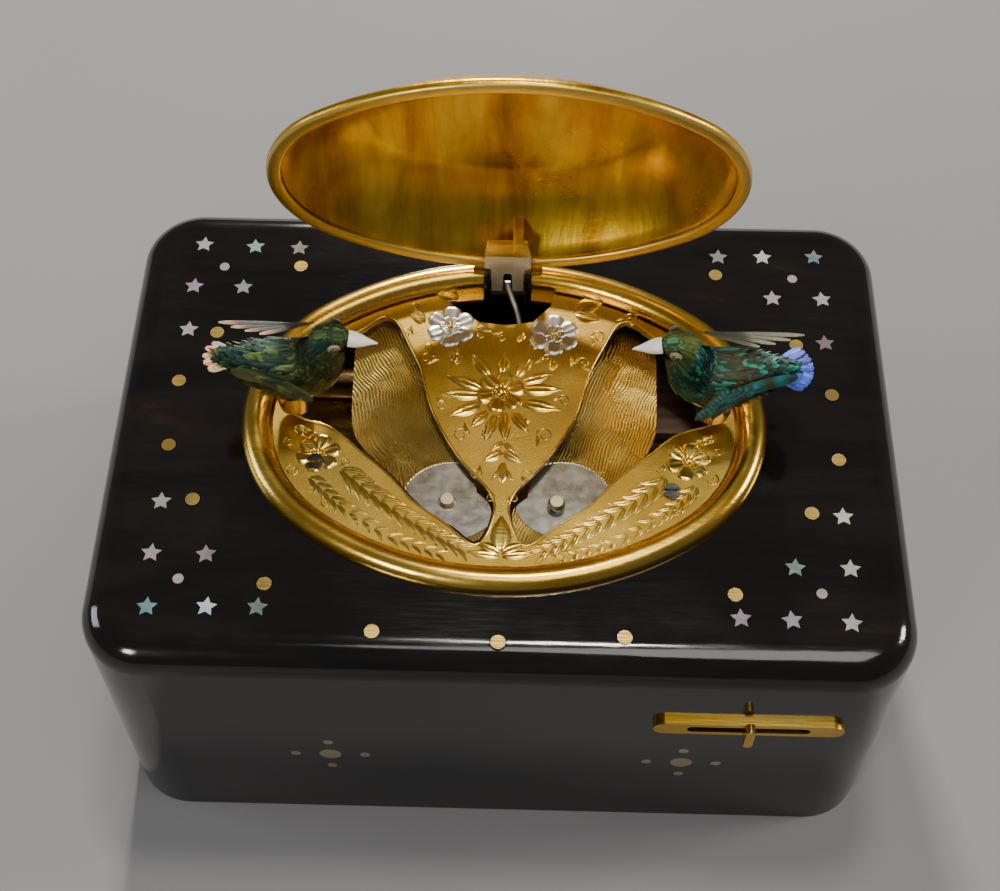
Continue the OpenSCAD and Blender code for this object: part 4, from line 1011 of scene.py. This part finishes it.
# %% [markdown]
# A wing is two rows of long flight feathers under two rows of coverts, fanned from the shoulder. All
# of it lies in the tilted plane in which the wing was built, so that it still turns on its root.

# %% Wing and tail
WING_SLOPE = math.radians(30)
WING_ROOT = Vector((-25.8, 5.3, 56.0))
TAIL_ROOT = Vector((-32.9, FOOT_Y, 55.3))


def wing(bm, near, lift, reach=1.0, quills=8, coverts=True, fan=3.2, width=1.5):
    """Feathers of one wing; lift raises its tip, in radians. The far wing is turned to face upwards."""
    side = -1 if near else 1
    root = Vector((WING_ROOT.x, FOOT_Y + side * (WING_ROOT.y - FOOT_Y), WING_ROOT.z))
    outward = Vector((0, side * math.cos(WING_SLOPE - math.pi / 2), math.sin(WING_SLOPE - math.pi / 2)))
    normal = Vector((0, side * math.cos(WING_SLOPE), math.sin(WING_SLOPE)))
    if not coverts:
        outward, normal = Vector((0, 0.94, -0.34)), Vector((0, 0.34, 0.94))
    for k in range(quills):
        t = k / (quills - 1)
        angle = 0.34 - 0.40 * t + lift
        start = root + Vector((2.0 - 2.8 * t, 0, 0)) + outward * ((0.3 if near else 1.5) + fan * (1 - t))
        way = Vector((-math.cos(angle), 0, 0)) - outward * math.sin(angle)
        at = start + normal * ((0.10 if near else -0.12) + 0.05 * k)
        plume = (random.random(), 0.15 + 0.8 * t, t, 1)
        add_feather(bm, axes(at, way, normal), (8.2 + 2.4 * t) * reach, width, plume,
                    taper=0.7, droop=0.01, arch=0.06, along=10)
    if not coverts:
        return
    for row, (count, length, width, back) in enumerate([(9, 4.6, 1.2, 0.2), (9, 3.2, 1.1, 1.3), (8, 2.2, 1.0, 2.2)]):
        for k in range(count):
            t = k / (count - 1)
            angle = 0.5 - 0.55 * t + lift
            start = root + Vector((back + 0.4 - 2.2 * t, 0, 0)) + outward * (0.2 + (fan - 0.3) * (1 - t))
            way = Vector((-math.cos(angle), 0, 0)) - outward * math.sin(angle)
            plume = (random.random(), 0.5 + 0.2 * row, t, 1)
            add_feather(bm, axes(start + normal * (0.5 + 0.22 * row), way + normal * 0.04, normal), length * reach,
                        width, plume, taper=0.5, droop=0.03, arch=0.12)


def tail(bm, count, length, spread, width):
    """A fan of long feathers, each a little over the next."""
    for k in range(count):
        t = k / (count - 1) * 2 - 1
        angle = t * spread
        way = Vector((-math.cos(angle), math.sin(angle), 0.1))
        at = TAIL_ROOT + Vector((0.7, 0.35 * t, 0.12 * (k % 2)))
        add_feather(bm, axes(at, way, (0, 0.25 * t, 1)), length * (1 - 0.12 * t * t), width,
                    (random.random(), abs(t), 0.5 + 0.5 * t, 1), taper=0.75, droop=0.02, arch=0.08, along=9)


print("wing slope in degrees:", round(math.degrees(WING_SLOPE)))

# %% [markdown]
# A feather's colour depends on where it sits. Barbs run out from its shaft as fine slanted lines, made from the
# feather's own UV, and the colour is darkened in the grooves between them as painted shade. They sit in a group that
# every feather material shares.

# %% Barbs
barb_group, barb_in, barb_out = new_group(
    "feather barbs", {"Count": (FLOAT, 26.0), "Darken": (FLOAT, 0.5)}, {"Shade": FLOAT, "Height": FLOAT})
barb_uv = add_node(barb_group, "ShaderNodeUVMap", uv_map="UVMap")
barb_split = add_node(barb_group, "ShaderNodeSeparateXYZ", {"Vector": barb_uv.outputs[0]})
off_shaft = add_node(barb_group, "ShaderNodeMath", {0: barb_split.outputs[1], 1: 0.5}, operation="SUBTRACT")
off_shaft = add_node(barb_group, "ShaderNodeMath", {0: off_shaft.outputs[0]}, operation="ABSOLUTE")
slant = add_node(barb_group, "ShaderNodeMath", {0: off_shaft.outputs[0], 1: -0.7, 2: barb_split.outputs[0]},
                 operation="MULTIPLY_ADD")
phase = add_node(barb_group, "ShaderNodeMath", {0: slant.outputs[0], 1: barb_in.outputs["Count"]},
                 operation="MULTIPLY")
saw = add_node(barb_group, "ShaderNodeMath", {0: phase.outputs[0], 1: 1.0}, operation="PINGPONG")
shaft = add_node(barb_group, "ShaderNodeMapRange",
                 {"Value": off_shaft.outputs[0], "From Min": 0.02, "From Max": 0.07, "To Min": 1.0, "To Max": 0.0})
barb_height = add_node(barb_group, "ShaderNodeMath", {0: saw.outputs[0], 1: shaft.outputs[0]}, operation="MAXIMUM")
# Shade: the colour is darkened where the barb height is low, down to Darken; this is painted shade in the grooves.
barb_shade = add_node(barb_group, "ShaderNodeMapRange",
                      {"Value": saw.outputs[0], "To Min": barb_in.outputs["Darken"], "To Max": 1.0})
barb_group.links.new(barb_shade.outputs[0], barb_out.inputs["Shade"])
barb_group.links.new(barb_height.outputs[0], barb_out.inputs["Height"])
print("barb group nodes:", len(barb_group.nodes))

# %% [markdown]
# One function makes every feather material: a colour ramp from tail to head, or along each feather, with a second ramp
# for the belly and painted glints, a brighter colour on a random few feathers. The shader is part metal, which gives
# the glossy blue and green sheen of real kingfisher and hummingbird feathers.


# %% Feather materials
def plumage(name, read, stops, second=None, second_from=(0.5, 0.7), painted_glint=None, metallic=0.45, roughness=0.42,
            darken=0.55, count=22.0):
    """Feather material: stops along one channel of plume, or along each feather; a second ramp below."""
    material, tree, shader = new_material(name)
    plume = add_node(tree, "ShaderNodeAttribute", attribute_name="plume")
    channel = add_node(tree, "ShaderNodeSeparateColor", {"Color": plume.outputs["Color"]})
    patchy = add_node(tree, "ShaderNodeTexNoise", {"Vector": object_point(tree), "Scale": 420.0, "Detail": 3.0})
    wander = add_node(tree, "ShaderNodeMapRange",
                      {"Value": patchy.outputs["Fac"], "To Min": -0.12, "To Max": 0.12})
    if read == "along":
        along = add_node(tree, "ShaderNodeUVMap", uv_map="UVMap")
        where = add_node(tree, "ShaderNodeSeparateXYZ", {"Vector": along.outputs[0]}).outputs[0]
    else:
        where = channel.outputs[read]
    place = add_node(tree, "ShaderNodeMath", {0: where, 1: wander.outputs[0]}, operation="ADD")
    colour = ramp(tree, place.outputs[0], stops)
    if second:
        amount = add_node(tree, "ShaderNodeMapRange",
                          {"Value": channel.outputs[2], "From Min": second_from[0], "From Max": second_from[1]})
        colour = add_node(tree, "ShaderNodeMix",
                          {0: amount.outputs[0], 6: ramp(tree, place.outputs[0], second), 7: colour},
                          data_type="RGBA").outputs[2]
    # Painted glints: a random few feathers are mixed towards a bright colour, standing in for light flashing off them.
    if painted_glint:
        lit = add_node(tree, "ShaderNodeMapRange",
                       {"Value": channel.outputs[0], "From Min": 0.72, "From Max": 0.95, "To Max": 0.8})
        colour = add_node(tree, "ShaderNodeMix", {0: lit.outputs[0], 6: colour, 7: (*painted_glint, 1)},
                          data_type="RGBA").outputs[2]
    # Darken sets how deep the painted shade between the barbs goes.
    barbs = use_group(tree, barb_group, Count=count, Darken=darken)
    tone = add_node(tree, "ShaderNodeMapRange", {"Value": channel.outputs[0], "To Min": 0.6, "To Max": 1.25})
    strength = add_node(tree, "ShaderNodeMath", {0: tone.outputs[0], 1: barbs.outputs["Shade"]},
                        operation="MULTIPLY")
    tree.links.new(scaled(tree, colour, strength.outputs[0]), shader.inputs["Base Color"])
    bump_by(tree, shader, barbs.outputs["Height"], 0.35, 0.00006)
    shader.inputs["Metallic"].default_value = metallic
    shader.inputs["Roughness"].default_value = roughness
    return material


print("materials so far:", len(bpy.data.materials))

# %% [markdown]
# The left bird is dark green with olive, with an orange and cream tail. The right bird is teal and
# green, with a deep blue tail. Each set of feathers has a material of its own, so that one can be
# changed without the others.

# %% Bird colours
left_plumage = plumage(
    "left_plumage", 1,
    [(0.0, (0.010, 0.045, 0.034)), (0.25, (0.010, 0.050, 0.034)), (0.48, (0.045, 0.050, 0.008)),
     (0.66, (0.014, 0.040, 0.022)), (0.84, (0.010, 0.055, 0.030)), (0.93, (0.06, 0.10, 0.012)),
     (1.0, (0.004, 0.004, 0.004))],
    second=[(0.0, (0.03, 0.05, 0.012)), (0.3, (0.075, 0.085, 0.01)), (0.55, (0.04, 0.065, 0.025)),
            (0.75, (0.02, 0.045, 0.03)), (1.0, (0.01, 0.02, 0.02))],
    second_from=(0.3, 0.55), painted_glint=(0.10, 0.15, 0.02), metallic=0.6)
right_plumage = plumage(
    "right_plumage", 1,
    [(0.0, (0.008, 0.09, 0.09)), (0.3, (0.07, 0.055, 0.02)), (0.5, (0.01, 0.13, 0.105)), (0.66, (0.03, 0.09, 0.04)),
     (0.84, (0.12, 0.14, 0.014)), (0.95, (0.08, 0.11, 0.012)), (1.0, (0.01, 0.01, 0.01))],
    second=[(0.0, (0.02, 0.06, 0.05)), (0.4, (0.010, 0.032, 0.022)), (0.6, (0.02, 0.06, 0.03)),
            (0.8, (0.01, 0.13, 0.11)), (1.0, (0.02, 0.05, 0.04))],
    second_from=(0.35, 0.6), painted_glint=(0.02, 0.30, 0.20), metallic=0.6)
left_wing_feathers = plumage(
    "left_wing_feathers", 1,
    [(0.0, (0.012, 0.035, 0.024)), (0.4, (0.045, 0.055, 0.010)), (0.7, (0.020, 0.040, 0.022)),
     (1.0, (0.075, 0.085, 0.012))], painted_glint=(0.10, 0.12, 0.02), metallic=0.55, count=60.0, darken=0.7)
right_wing_feathers = plumage(
    "right_wing_feathers", "along",
    [(0.0, (0.045, 0.060, 0.030)), (0.36, (0.050, 0.070, 0.040)), (0.46, (0.012, 0.22, 0.22)),
     (0.58, (0.05, 0.065, 0.035)), (0.68, (0.05, 0.065, 0.035)), (0.78, (0.012, 0.24, 0.25)),
     (0.92, (0.04, 0.07, 0.05))], metallic=0.5, count=70.0, darken=0.75)
far_wing_left = plumage(
    "far_wing_left", "along",
    [(0.0, (0.015, 0.012, 0.01)), (0.72, (0.03, 0.025, 0.018)), (0.84, (0.40, 0.15, 0.04)), (0.95, (0.55, 0.42, 0.24))],
    metallic=0.1)
far_wing_right = plumage(
    "far_wing_right", "along", [(0.0, (0.05, 0.055, 0.03)), (0.6, (0.10, 0.10, 0.06)), (1.0, (0.20, 0.18, 0.12))],
    metallic=0.2)
left_tail_feathers = plumage(
    "left_tail_feathers", 2,
    [(0.0, (0.62, 0.46, 0.24)), (0.3, (0.72, 0.20, 0.03)), (0.5, (0.75, 0.55, 0.30)), (0.7, (0.66, 0.22, 0.04)),
     (1.0, (0.22, 0.18, 0.10))],
    metallic=0.0, darken=0.7)
right_tail_feathers = plumage(
    "right_tail_feathers", 0,
    [(0.0, (0.008, 0.03, 0.28)), (0.5, (0.015, 0.06, 0.50)), (1.0, (0.03, 0.12, 0.55))], metallic=0.25, darken=0.6)
print("materials with feathers:", len(bpy.data.materials))

# %% [markdown]
# Beaks are ivory: pale, a little translucent, with growth lines along them. Eyes are glass beads in a
# ring of pale skin.

# %% Ivory and glass
ivory, tree, shader = new_material("ivory_beak")
grain_point = add_node(tree, "ShaderNodeMapping", {"Vector": object_point(tree), "Scale": (0.25, 2.0, 2.0)})
grain = add_node(tree, "ShaderNodeTexNoise", {"Vector": grain_point.outputs[0], "Scale": 900.0, "Detail": 4.0})
colour_by(tree, shader, grain.outputs["Fac"], [(0.3, (0.74, 0.70, 0.58)), (0.65, (0.92, 0.90, 0.82))])
shader.inputs["Roughness"].default_value = 0.32
shader.inputs["Subsurface Weight"].default_value = 0.15
shader.inputs["Subsurface Scale"].default_value = 0.0008

glass_eye, tree, shader = new_material("glass_eye")
eye_noise = add_node(tree, "ShaderNodeTexNoise", {"Vector": object_point(tree), "Scale": 1500.0})
colour_by(tree, shader, eye_noise.outputs["Fac"], [(0.3, (0.012, 0.006, 0.004)), (0.7, (0.05, 0.022, 0.01))])
shader.inputs["Roughness"].default_value = 0.04
shader.inputs["Coat Weight"].default_value = 0.6

eye_skin, tree, shader = new_material("eye_ring")
skin_noise = add_node(tree, "ShaderNodeTexNoise", {"Vector": object_point(tree), "Scale": 3500.0, "Detail": 3.0})
colour_by(tree, shader, skin_noise.outputs["Fac"], [(0.3, (0.14, 0.11, 0.05)), (0.7, (0.34, 0.28, 0.15))])
shader.inputs["Roughness"].default_value = 0.55
print("materials of the head:", ivory.name, glass_eye.name, eye_skin.name)

# %% [markdown]
# A beak is a long cone that bulges a little and is cut along the gape. The upper half is the longer
# one. Both halves are made by one function, and the cut is a plane, as a carver would saw it.

# %% Beak halves
BEAK_AT = Vector((-18.5, FOOT_Y, 59.6))
BEAK_DIP = math.radians(12)
BEAK_L, BEAK_R = 3.4, 1.15


def half_beak(bm, upper):
    """A cone along the beak's line, bulged a little, and cut in half along its gape."""
    length = BEAK_L + 0.25 if upper else BEAK_L - 0.35
    radius = BEAK_R if upper else BEAK_R - 0.2
    bmesh.ops.create_cone(bm, segments=28, radius1=radius, radius2=0.1, depth=length, cap_ends=True)
    sides = [e for e in bm.edges if abs(e.verts[0].co.z - e.verts[1].co.z) > 0.5 * length]
    bmesh.ops.subdivide_edges(bm, edges=sides, cuts=7, use_grid_fill=True)
    for vert in bm.verts:
        t = vert.co.z / length + 0.5
        bulge = 1 + 0.30 * math.sin(math.pi * t) * (1 - 0.4 * t)
        vert.co.x *= bulge * (0.95 if upper else 0.88)
        vert.co.y *= bulge
    bmesh.ops.transform(bm, matrix=axes((length / 2 - (0.45 if upper else 0), 0, 0), (0, 0, 1), (1, 0, 0)),
                        verts=bm.verts[:])
    bmesh.ops.bisect_plane(bm, geom=bm.verts[:] + bm.edges[:] + bm.faces[:], plane_co=(0, 0, 0.02 if upper else -0.05),
                           plane_no=(0, 0, -1 if upper else 1), clear_outer=True)
    bmesh.ops.holes_fill(bm, edges=[e for e in bm.edges if e.is_boundary], sides=0)
    bmesh.ops.transform(bm, matrix=Matrix.Translation(BEAK_AT) @ Matrix.Rotation(BEAK_DIP, 4, "Y"),
                        verts=bm.verts[:])


print("beak length in mm:", BEAK_L)

# %% [markdown]
# The eyes are round glass beads, each in a low ring of pale skin. A sphere and a short cone make them,
# set into the sides of the head and turned a little forwards.

# %% Eyes
HEAD = Vector((-21.1, FOOT_Y, 59.8))
EYE_R, RING_R = 0.5, 0.78


def eyes(bm):
    """Two beads and their rings; a bead's faces take the first material, a ring's the second."""
    for side in (-1, 1):
        at = HEAD + Vector((0.7, side * 1.98, 0.5))
        out = Vector((0.25, side, 0.12)).normalized()
        bmesh.ops.create_uvsphere(bm, u_segments=20, v_segments=12, radius=EYE_R,
                                  matrix=axes(at + out * 0.26, (0, 0, 1), out))
        ring = bmesh.ops.create_cone(bm, segments=28, radius1=RING_R, radius2=0.56, depth=0.3, cap_ends=True,
                                     matrix=axes(at + out * 0.12, (0, 0, 1), out))["verts"]
        for face in {f for v in ring for f in v.link_faces}:
            face.material_index = 1


print("eye width in mm:", 2 * EYE_R)

# %% [markdown]
# Both birds are made by the same steps, from values of their own. The right bird is built like the
# left one and then mirrored, so that the two face each other. Every part rides on the body that the
# CAD gives it, which lets the beaks, wings and tails move.

# %% Both birds
BIRDS = {
    "left": dict(mirrored=False, plumage=left_plumage, wing=left_wing_feathers, far=far_wing_left,
                 tail=left_tail_feathers, tail_shape=(5, 4.8, 0.42, 1.2), near_lift=0.34, near_reach=0.62, fan=2.2,
                 far_reach=0.86),
    "right": dict(mirrored=True, plumage=right_plumage, wing=right_wing_feathers, far=far_wing_right,
                  tail=right_tail_feathers, tail_shape=(11, 5.5, 0.6, 1.2), near_lift=0.36, near_reach=0.84, fan=3.6,
                  far_reach=0.98),
}
for hand, bird in BIRDS.items():
    flip = bird["mirrored"]
    parts = {}
    for part in ("body", "near_wing", "far_wing", "tail"):
        parts[part] = bmesh.new()
        parts[part].loops.layers.uv.new("UVMap")
        parts[part].verts.layers.float_color.new("plume")
    batch(parts["body"], bird_body)
    cover(parts["body"])
    wing(parts["near_wing"], True, bird["near_lift"], bird["near_reach"], fan=bird["fan"])
    wing(parts["far_wing"], False, 0.06, bird["far_reach"], quills=4, coverts=False, fan=0.5, width=0.95)
    tail(parts["tail"], *bird["tail_shape"])
    make_piece(f"{hand}_bird_plumage", parts["body"], [bird["plumage"]], f"{hand}_bird",
               [f"{hand}_body"], sharp=80, mirrored=flip, recalc=False)
    for part in ("near_wing", "far_wing"):
        make_piece(f"{hand}_{part}_quills", parts[part], [bird["far" if part == "far_wing" else "wing"]],
                   f"{hand}_{part}", [f"{hand}_{part}"], sharp=80, mirrored=flip,
                   recalc=False)
    make_piece(f"{hand}_tail_fan", parts["tail"], [bird["tail"]], f"{hand}_tail",
               [f"{hand}_tail"], sharp=80, mirrored=flip, recalc=False)
    for upper, node in ((True, "upper_beak"), (False, "lower_beak")):
        beak_bm = bmesh.new()
        half_beak(beak_bm, upper)
        make_piece(f"{hand}_{node}_ivory", beak_bm, [ivory], f"{hand}_bird" if upper else f"{hand}_lower_beak",
                   [f"{hand}_{node}"], mirrored=flip)
    eye_bm = bmesh.new()
    eyes(eye_bm)
    make_piece(f"{hand}_eye_beads", eye_bm, [glass_eye, eye_skin], f"{hand}_bird", [f"{hand}_eyes"],
               mirrored=flip)

# %% [markdown]
# The bellows are two thin boards of stained pearwood joined by folded kid leather. Wood shows long
# grain lines, from a noise that is stretched along the board. Leather shows fine creases, from a
# Voronoi pattern that only feeds the bump.

# %% Bellows finishes
pearwood, tree, shader = new_material("bellows_wood")
along_board = add_node(tree, "ShaderNodeMapping", {"Vector": object_point(tree), "Scale": (0.3, 4.0, 4.0)})
wood_grain = add_node(tree, "ShaderNodeTexNoise",
                      {"Vector": along_board.outputs[0], "Scale": 260.0, "Detail": 6.0, "Distortion": 0.5})
colour_by(tree, shader, wood_grain.outputs["Fac"], [(0.32, (0.06, 0.028, 0.012)), (0.66, (0.17, 0.085, 0.038))])
bump_by(tree, shader, wood_grain.outputs["Fac"], 0.2, 0.0001)
shader.inputs["Roughness"].default_value = 0.48

kid_leather, tree, shader = new_material("bellows_leather")
pores = add_node(tree, "ShaderNodeTexVoronoi", {"Vector": object_point(tree), "Scale": 2400.0})
blotches = add_node(tree, "ShaderNodeTexNoise", {"Vector": object_point(tree), "Scale": 240.0, "Detail": 4.0})
colour_by(tree, shader, blotches.outputs["Fac"], [(0.35, (0.44, 0.36, 0.26)), (0.65, (0.62, 0.55, 0.44))])
bump_by(tree, shader, pores.outputs["Distance"], 0.3, 0.00008)
shader.inputs["Roughness"].default_value = 0.7
print("bellows finishes:", pearwood.name, kid_leather.name)

# %% [markdown]
# The skin of the bellows folds in pleats. It starts as a box, cut into levels, and every other level is drawn in. The
# skin is given a mesh of its own.

# %% Bellows skin
SKIN_LOW, SKIN_HIGH = Vector((10.5, 7.5, 26.9)), Vector((34.5, 20.5, 31.45))
PLEATS = 5
skin_bm = bmesh.new()
bmesh.ops.create_cube(skin_bm, size=1)
uprights = [e for e in skin_bm.edges if abs(e.verts[0].co.z - e.verts[1].co.z) > 0.5]
bmesh.ops.subdivide_edges(skin_bm, edges=uprights, cuts=2 * PLEATS - 1, use_grid_fill=True)
middle, span = (SKIN_LOW + SKIN_HIGH) / 2, SKIN_HIGH - SKIN_LOW
for vert in skin_bm.verts:
    level = round((vert.co.z + 0.5) * 2 * PLEATS)
    draw_in = 1.1 if level % 2 and 0 < level < 2 * PLEATS else 0
    half = Vector((span.x / 2 - draw_in, span.y / 2 - draw_in, 0))
    vert.co = middle + Vector((math.copysign(half.x, vert.co.x), math.copysign(half.y, vert.co.y),
                               vert.co.z * span.z))
folds = [e for e in skin_bm.edges if abs(e.verts[0].co.z - e.verts[1].co.z) < 0.01]
soften(skin_bm, folds, 0.12)
skin = make_piece("bellows_skin", skin_bm, [kid_leather], "case", ["bellows_leather"])
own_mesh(skin)

# %% [markdown]
# Three more metals are needed: dull gold for the discs on the front, bright steel for the hinge and dark steel for its
# posts and the grille screws. The posts are made this dark as painted shade, as they stand in shadow under the hinge
# plate. The bright steel is a little less metallic than gilding, so that it stays light where it has only the dark box
# to mirror.

# %% Hinge and panel metals
panel_gold = gilding("panel_gold", (0.56, 0.50, 0.34), (0.44, 0.38, 0.22), 0.24, 0.4, 160.0)
hinge_steel = gilding("hinge_steel", (0.84, 0.80, 0.68), (0.58, 0.52, 0.38), 0.40, 0.60, 300.0, 0.3)
hinge_steel.node_tree.nodes["Principled BSDF"].inputs["Metallic"].default_value = 0.75
dark_steel_and_painted_shade = gilding("dark_steel_and_painted_shade", (0.20, 0.19, 0.18), (0.09, 0.085, 0.08), 0.22, 0.42, 260.0)
print("materials so far:", len(bpy.data.materials))

# %% [markdown]
# The lid hangs on a bright upright plate: wide above, narrower below, with a round-topped slot where the lever comes
# out. A gold lug and a rib tie the plate to the dome. All of it turns with the lid, between two posts on the case that
# are painted dark as shade. Each part is a flat outline pushed along one axis.

# %% Hinge plate, lug and posts
SHOULDER_W, NECK_W, SLOT_W = 3.0, 2.1, 0.65
PLATE_TOP, SHOULDER_Z, SLOT_TOP, PLATE_FOOT = 52.4, 49.9, 48.5, 45.2
PLATE_Y = (20.4, 20.88)
LUG_TOP, LUG_W = 54.8, 2.6
RIB_X, RIB_BACK = (0.7, 2.0), 25.3
POST_FOOT, TIE_TOP, POST_TOP = 41.0, 44.0, 47.8
POST_IN, POST_Y = 2.25, (21.5, 25.4)


def add_prism(bm, outline, low, high, axis, material=0):
    """Pushes a flat outline from low to high along an axis: 0 is x, 1 is y and 2 is z."""
    rings = []
    for level in (low, high):
        points = [list(point) for point in outline]
        for point in points:
            point.insert(axis, level)
        rings.append([bm.verts.new(point) for point in points])
    faces = [bm.faces.new(ring) for ring in rings]
    for i in range(len(outline)):
        faces.append(bm.faces.new((rings[0][i - 1], rings[0][i], rings[1][i], rings[1][i - 1])))
    for face in faces:
        face.material_index = material


arch = [(SLOT_W * math.cos(math.pi * k / 8), SLOT_TOP + SLOT_W * math.sin(math.pi * k / 8)) for k in range(9)]
plate = [(-SHOULDER_W, PLATE_TOP), (SHOULDER_W, PLATE_TOP), (SHOULDER_W, SHOULDER_Z), (NECK_W, SHOULDER_Z),
         (NECK_W, PLATE_FOOT), (SLOT_W, PLATE_FOOT)] + arch
plate += [(-SLOT_W, PLATE_FOOT), (-NECK_W, PLATE_FOOT), (-NECK_W, SHOULDER_Z), (-SHOULDER_W, SHOULDER_Z)]
lug = [(-SHOULDER_W, PLATE_TOP + 0.05), (SHOULDER_W, PLATE_TOP + 0.05), (LUG_W, LUG_TOP), (-LUG_W, LUG_TOP)]
rib = [(PLATE_Y[0] - 0.1, PLATE_TOP + 0.1), (PLATE_Y[0] - 0.1, LUG_TOP + 0.2),
       (RIB_BACK, LUG_TOP + 0.2), (RIB_BACK - 0.6, PLATE_TOP + 0.1)]
lug_bm = bmesh.new()
add_prism(lug_bm, plate, *PLATE_Y, 1)
add_prism(lug_bm, lug, PLATE_Y[0], PLATE_Y[1] + 0.5, 1, material=1)
add_prism(lug_bm, rib, *RIB_X, 0, material=1)
soften(lug_bm, lug_bm.edges[:], 0.1)
make_piece("hinge_plate", lug_bm, [hinge_steel, gilt_rim], "lid")

posts_bm = bmesh.new()
for side in (-1, 1):
    inner, outer = side * POST_IN, side * SHOULDER_W
    add_prism(posts_bm, [(inner, POST_Y[0]), (outer, POST_Y[0]), (outer, POST_Y[1]), (inner, POST_Y[1])],
              POST_FOOT, POST_TOP, 2)
tie_x, tie_y = POST_IN + 0.05, POST_Y[1] - 0.8
add_prism(posts_bm, [(-tie_x, tie_y), (tie_x, tie_y), (tie_x, POST_Y[1]), (-tie_x, POST_Y[1])], POST_FOOT, TIE_TOP, 2)
soften(posts_bm, posts_bm.edges[:], 0.08)
# The posts take the dark steel as painted shade under the plate.
make_piece("hinge_posts", posts_bm, [dark_steel_and_painted_shade], "case", ["hinge_block"])

# %% [markdown]
# The lever comes out under the plate and bends to one side on its way down. A Bezier curve gives its
# path, and a ring of eight points is set across the path at every step. It turns on a hub at its foot.

# %% Lid lever
LEVER_FOOT, LEVER_TIP = Vector((0, 17, 37)), Vector((0, 23.3, 43.7))
LEVER_BENDS = Vector((4.0, 18.2, 38.0)), Vector((-0.3, 22.9, 42.2))
LEVER_R, LEVER_STEPS = 0.38, 16
path = interpolate_bezier(LEVER_FOOT, *LEVER_BENDS, LEVER_TIP, LEVER_STEPS)
lever_bm = bmesh.new()
rings = []
for k, point in enumerate(path):
    along = (path[min(k + 1, LEVER_STEPS - 1)] - path[max(k - 1, 0)]).normalized()
    turn = Matrix.Rotation(math.pi / 8, 4, "Z")
    rings.append(bmesh.ops.create_circle(lever_bm, segments=8, radius=LEVER_R,
                                         matrix=axes(point, (1, 0, 0), along) @ turn)["verts"])
bridge(lever_bm, rings, capped=True)
hub = Matrix.Translation(LEVER_FOOT) @ Matrix.Rotation(math.pi / 2, 4, "Y")
for radius, width in ((1.4, 1.2), (0.7, 3.8)):
    bmesh.ops.create_cone(lever_bm, cap_ends=True, segments=32, radius1=radius, radius2=radius, depth=width,
                          matrix=hub)
make_piece("curved_lever", lever_bm, [hinge_steel], "lid_lever", ["lid_lever"])

# %% [markdown]
# The CAD pieces whose shapes are already right keep them and only change their finish. A loop over a
# short list of finishes says it all in one place, and a new piece is added by writing its name.

# %% Finish lists
FINISHES = [
    (lacquer, ["case_shell", "base_plate"]),
    (gilt_bezel, ["slide_track", "start_slide"]),
    (gilt_lid, ["lid_lug"]),
    (panel_gold, ["panel_disc_inlays"]),
    (gold_rivet, ["shutter_rivets"]),
    (gold_collar, ["left_collar", "right_collar"]),
    (hinge_steel, ["hinge_pin"]),
    (dark_steel_and_painted_shade, ["grille_screws"]),
    (blued, ["mainspring"]),
    (brass, ["main_plate", "top_plate", "pillars", "spring_barrel", "cam_arbor", "whistle_tube",
             "left_bracket", "right_bracket"]),
    (steel, ["base_screws", "movement_screws", "winding_arbor", "ratchet_wheel", "click", "fly",
             "whistle_piston", "shutter_posts", "left_perch", "right_perch"]),
    (pearwood, ["bellows_base", "bellows_top"]),
]
for finish, names in FINISHES:
    for name in names:
        dress(name, finish)
print("finishes on CAD pieces:", sum(len(names) for _, names in FINISHES))
